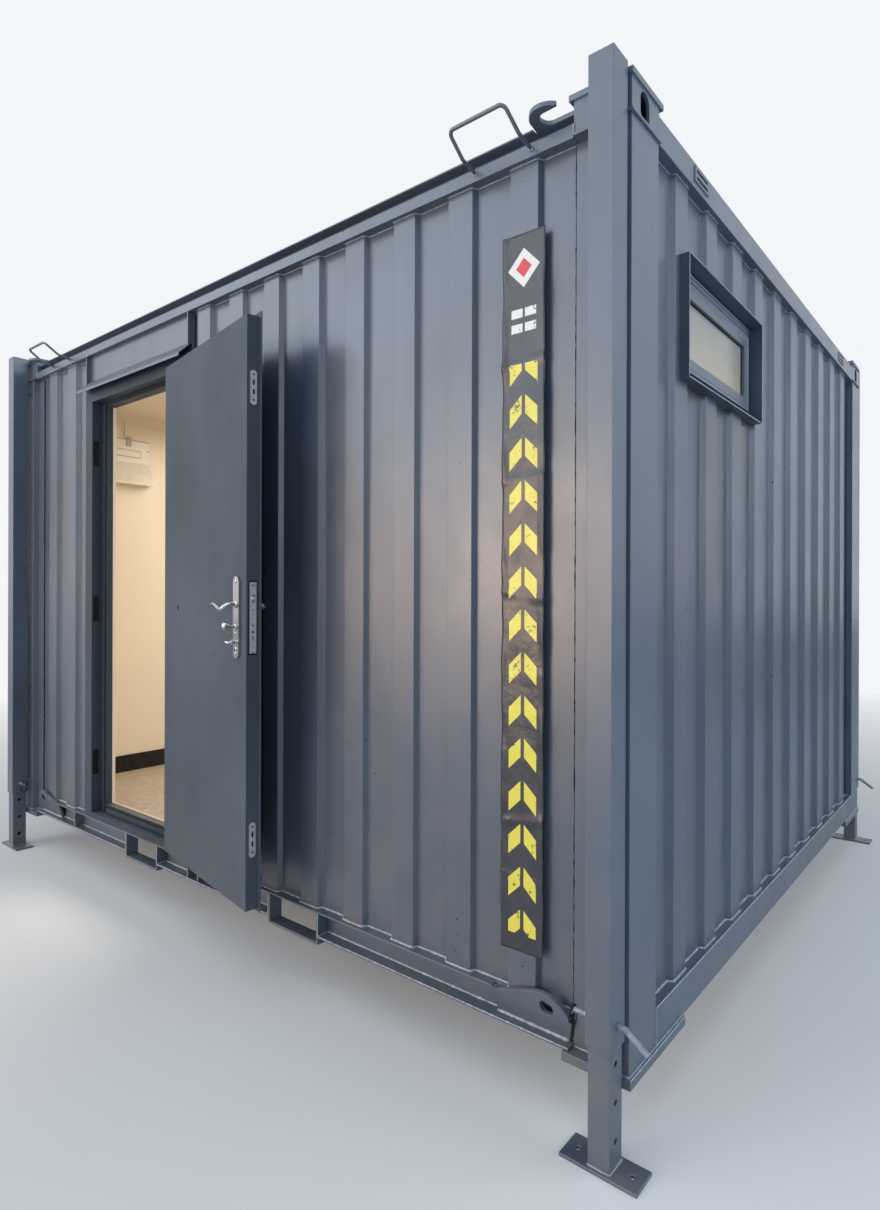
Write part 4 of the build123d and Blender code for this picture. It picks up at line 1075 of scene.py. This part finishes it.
# Floor, which turns into the pale background away from the object and keeps its shadow
FLOOR_HALF = 40.0
FLOOR_Z = -0.0005
FLOOR_DARK = (0.74, 0.735, 0.725)
FLOOR_LIGHT = (0.79, 0.785, 0.775)
FADE_START = 2.4
FADE_END = 8.5
floor_finish, t, bsdf, ground = new_material("floor_finish")
base = mix(t, noise(t, ground, 0.8, 3.0), FLOOR_DARK, FLOOR_LIGHT)
set_inputs(t, bsdf, {"Base Color": base, "Roughness": 0.85})
distance = add(t, "VectorMath", {0: ground}, operation="LENGTH").outputs["Value"]
fade = ramp(t, distance, FADE_START, FADE_END, 0.1, 1.0)
fade = times(t, fade, add(t, "LightPath").outputs["Is Camera Ray"])
glow = add(t, "Emission", {"Color": (*PALE, 1.0), "Strength": 1.0})
blended = add(t, "MixShader", {"Fac": fade, 1: bsdf.outputs[0], 2: glow.outputs[0]})
set_inputs(t, t.nodes["Material Output"], {"Surface": blended.outputs[0]})
corners = [(i * FLOOR_HALF, j * FLOOR_HALF, FLOOR_Z) for i, j in ((-1, -1), (1, -1), (1, 1), (-1, 1))]
mesh = bpy.data.meshes.new("floor")
mesh.from_pydata(corners, [], [(0, 1, 2, 3)])
mesh.materials.append(floor_finish)
floor = bpy.data.objects.new("floor", mesh)
bpy.context.scene.collection.objects.link(floor)

# World: the pale background for the camera, metal and glass, and a weak blue fill for the rest
world = bpy.data.worlds.new("world")
bpy.context.scene.world = world
world.use_nodes = True
t = world.node_tree
t.nodes.clear()
ray = add(t, "LightPath")
seen = math_node(t, "MAXIMUM", ray.outputs["Is Camera Ray"], ray.outputs["Is Glossy Ray"])
seen = math_node(t, "MAXIMUM", seen, ray.outputs["Is Transmission Ray"])
pale = add(t, "Background", {"Color": (*PALE, 1.0), "Strength": 1.0})
fill = add(t, "Background", {"Color": (*SKY_FILL, 1.0), "Strength": 0.25})
sky = add(t, "MixShader", {"Fac": seen, 1: fill.outputs[0], 2: pale.outputs[0]})
add(t, "OutputWorld", {"Surface": sky.outputs[0]})


def area_light(name, place, target, width, height, power, colour):
    """A rectangular lamp at a place, facing a target, with its width level."""
    data = bpy.data.lights.new(name, "AREA")
    data.shape = "RECTANGLE"
    data.size = width
    data.size_y = height
    data.energy = power
    data.color = colour
    obj = bpy.data.objects.new(name, data)
    bpy.context.scene.collection.objects.link(obj)
    obj.location = place
    away = [p - q for p, q in zip(place, target)]
    level = math.hypot(away[0], away[1])
    obj.rotation_euler = (math.atan2(level, away[2]), 0.0, math.atan2(away[1], away[0]) + math.pi / 2)


# Lamps: sky above and beside, a low sun and dusk sky that the ribs mirror, and the lit room
area_light("sky", (1.0, -4.0, 9.0), (0.0, 0.0, 1.0), 9.0, 7.0, 240.0, (0.74, 0.87, 1.0))
area_light("sunset", (-3.2, -11.0, 1.9), (0.9, -1.4, 1.35), 7.0, 4.2, 450.0, (1.0, 0.73, 0.53))
area_light("front_fill", (6.5, -7.0, 3.4), (0.9, -1.4, 1.3), 5.0, 4.0, 115.0, SKY_BLUE)
area_light("low_sun", (-10.3, -14.3, 1.9), (0.6, -1.4, 1.3), 15.0, 5.8, 520.0, (1.0, 0.70, 0.49))
area_light("dusk_sky", (-10.9, -15.1, 9.6), (0.6, -1.4, 1.6), 17.0, 9.0, 1100.0, SKY_BLUE)
area_light("end_sky", (9.0, 2.0, 4.0), (1.9, 0.0, 1.3), 6.0, 5.0, 350.0, (0.76, 0.88, 1.0))
area_light("room", (-0.2, 0.1, 2.42), (-0.2, 0.1, 0.0), 1.4, 2.6, 50.0, (1.0, 0.90, 0.76))
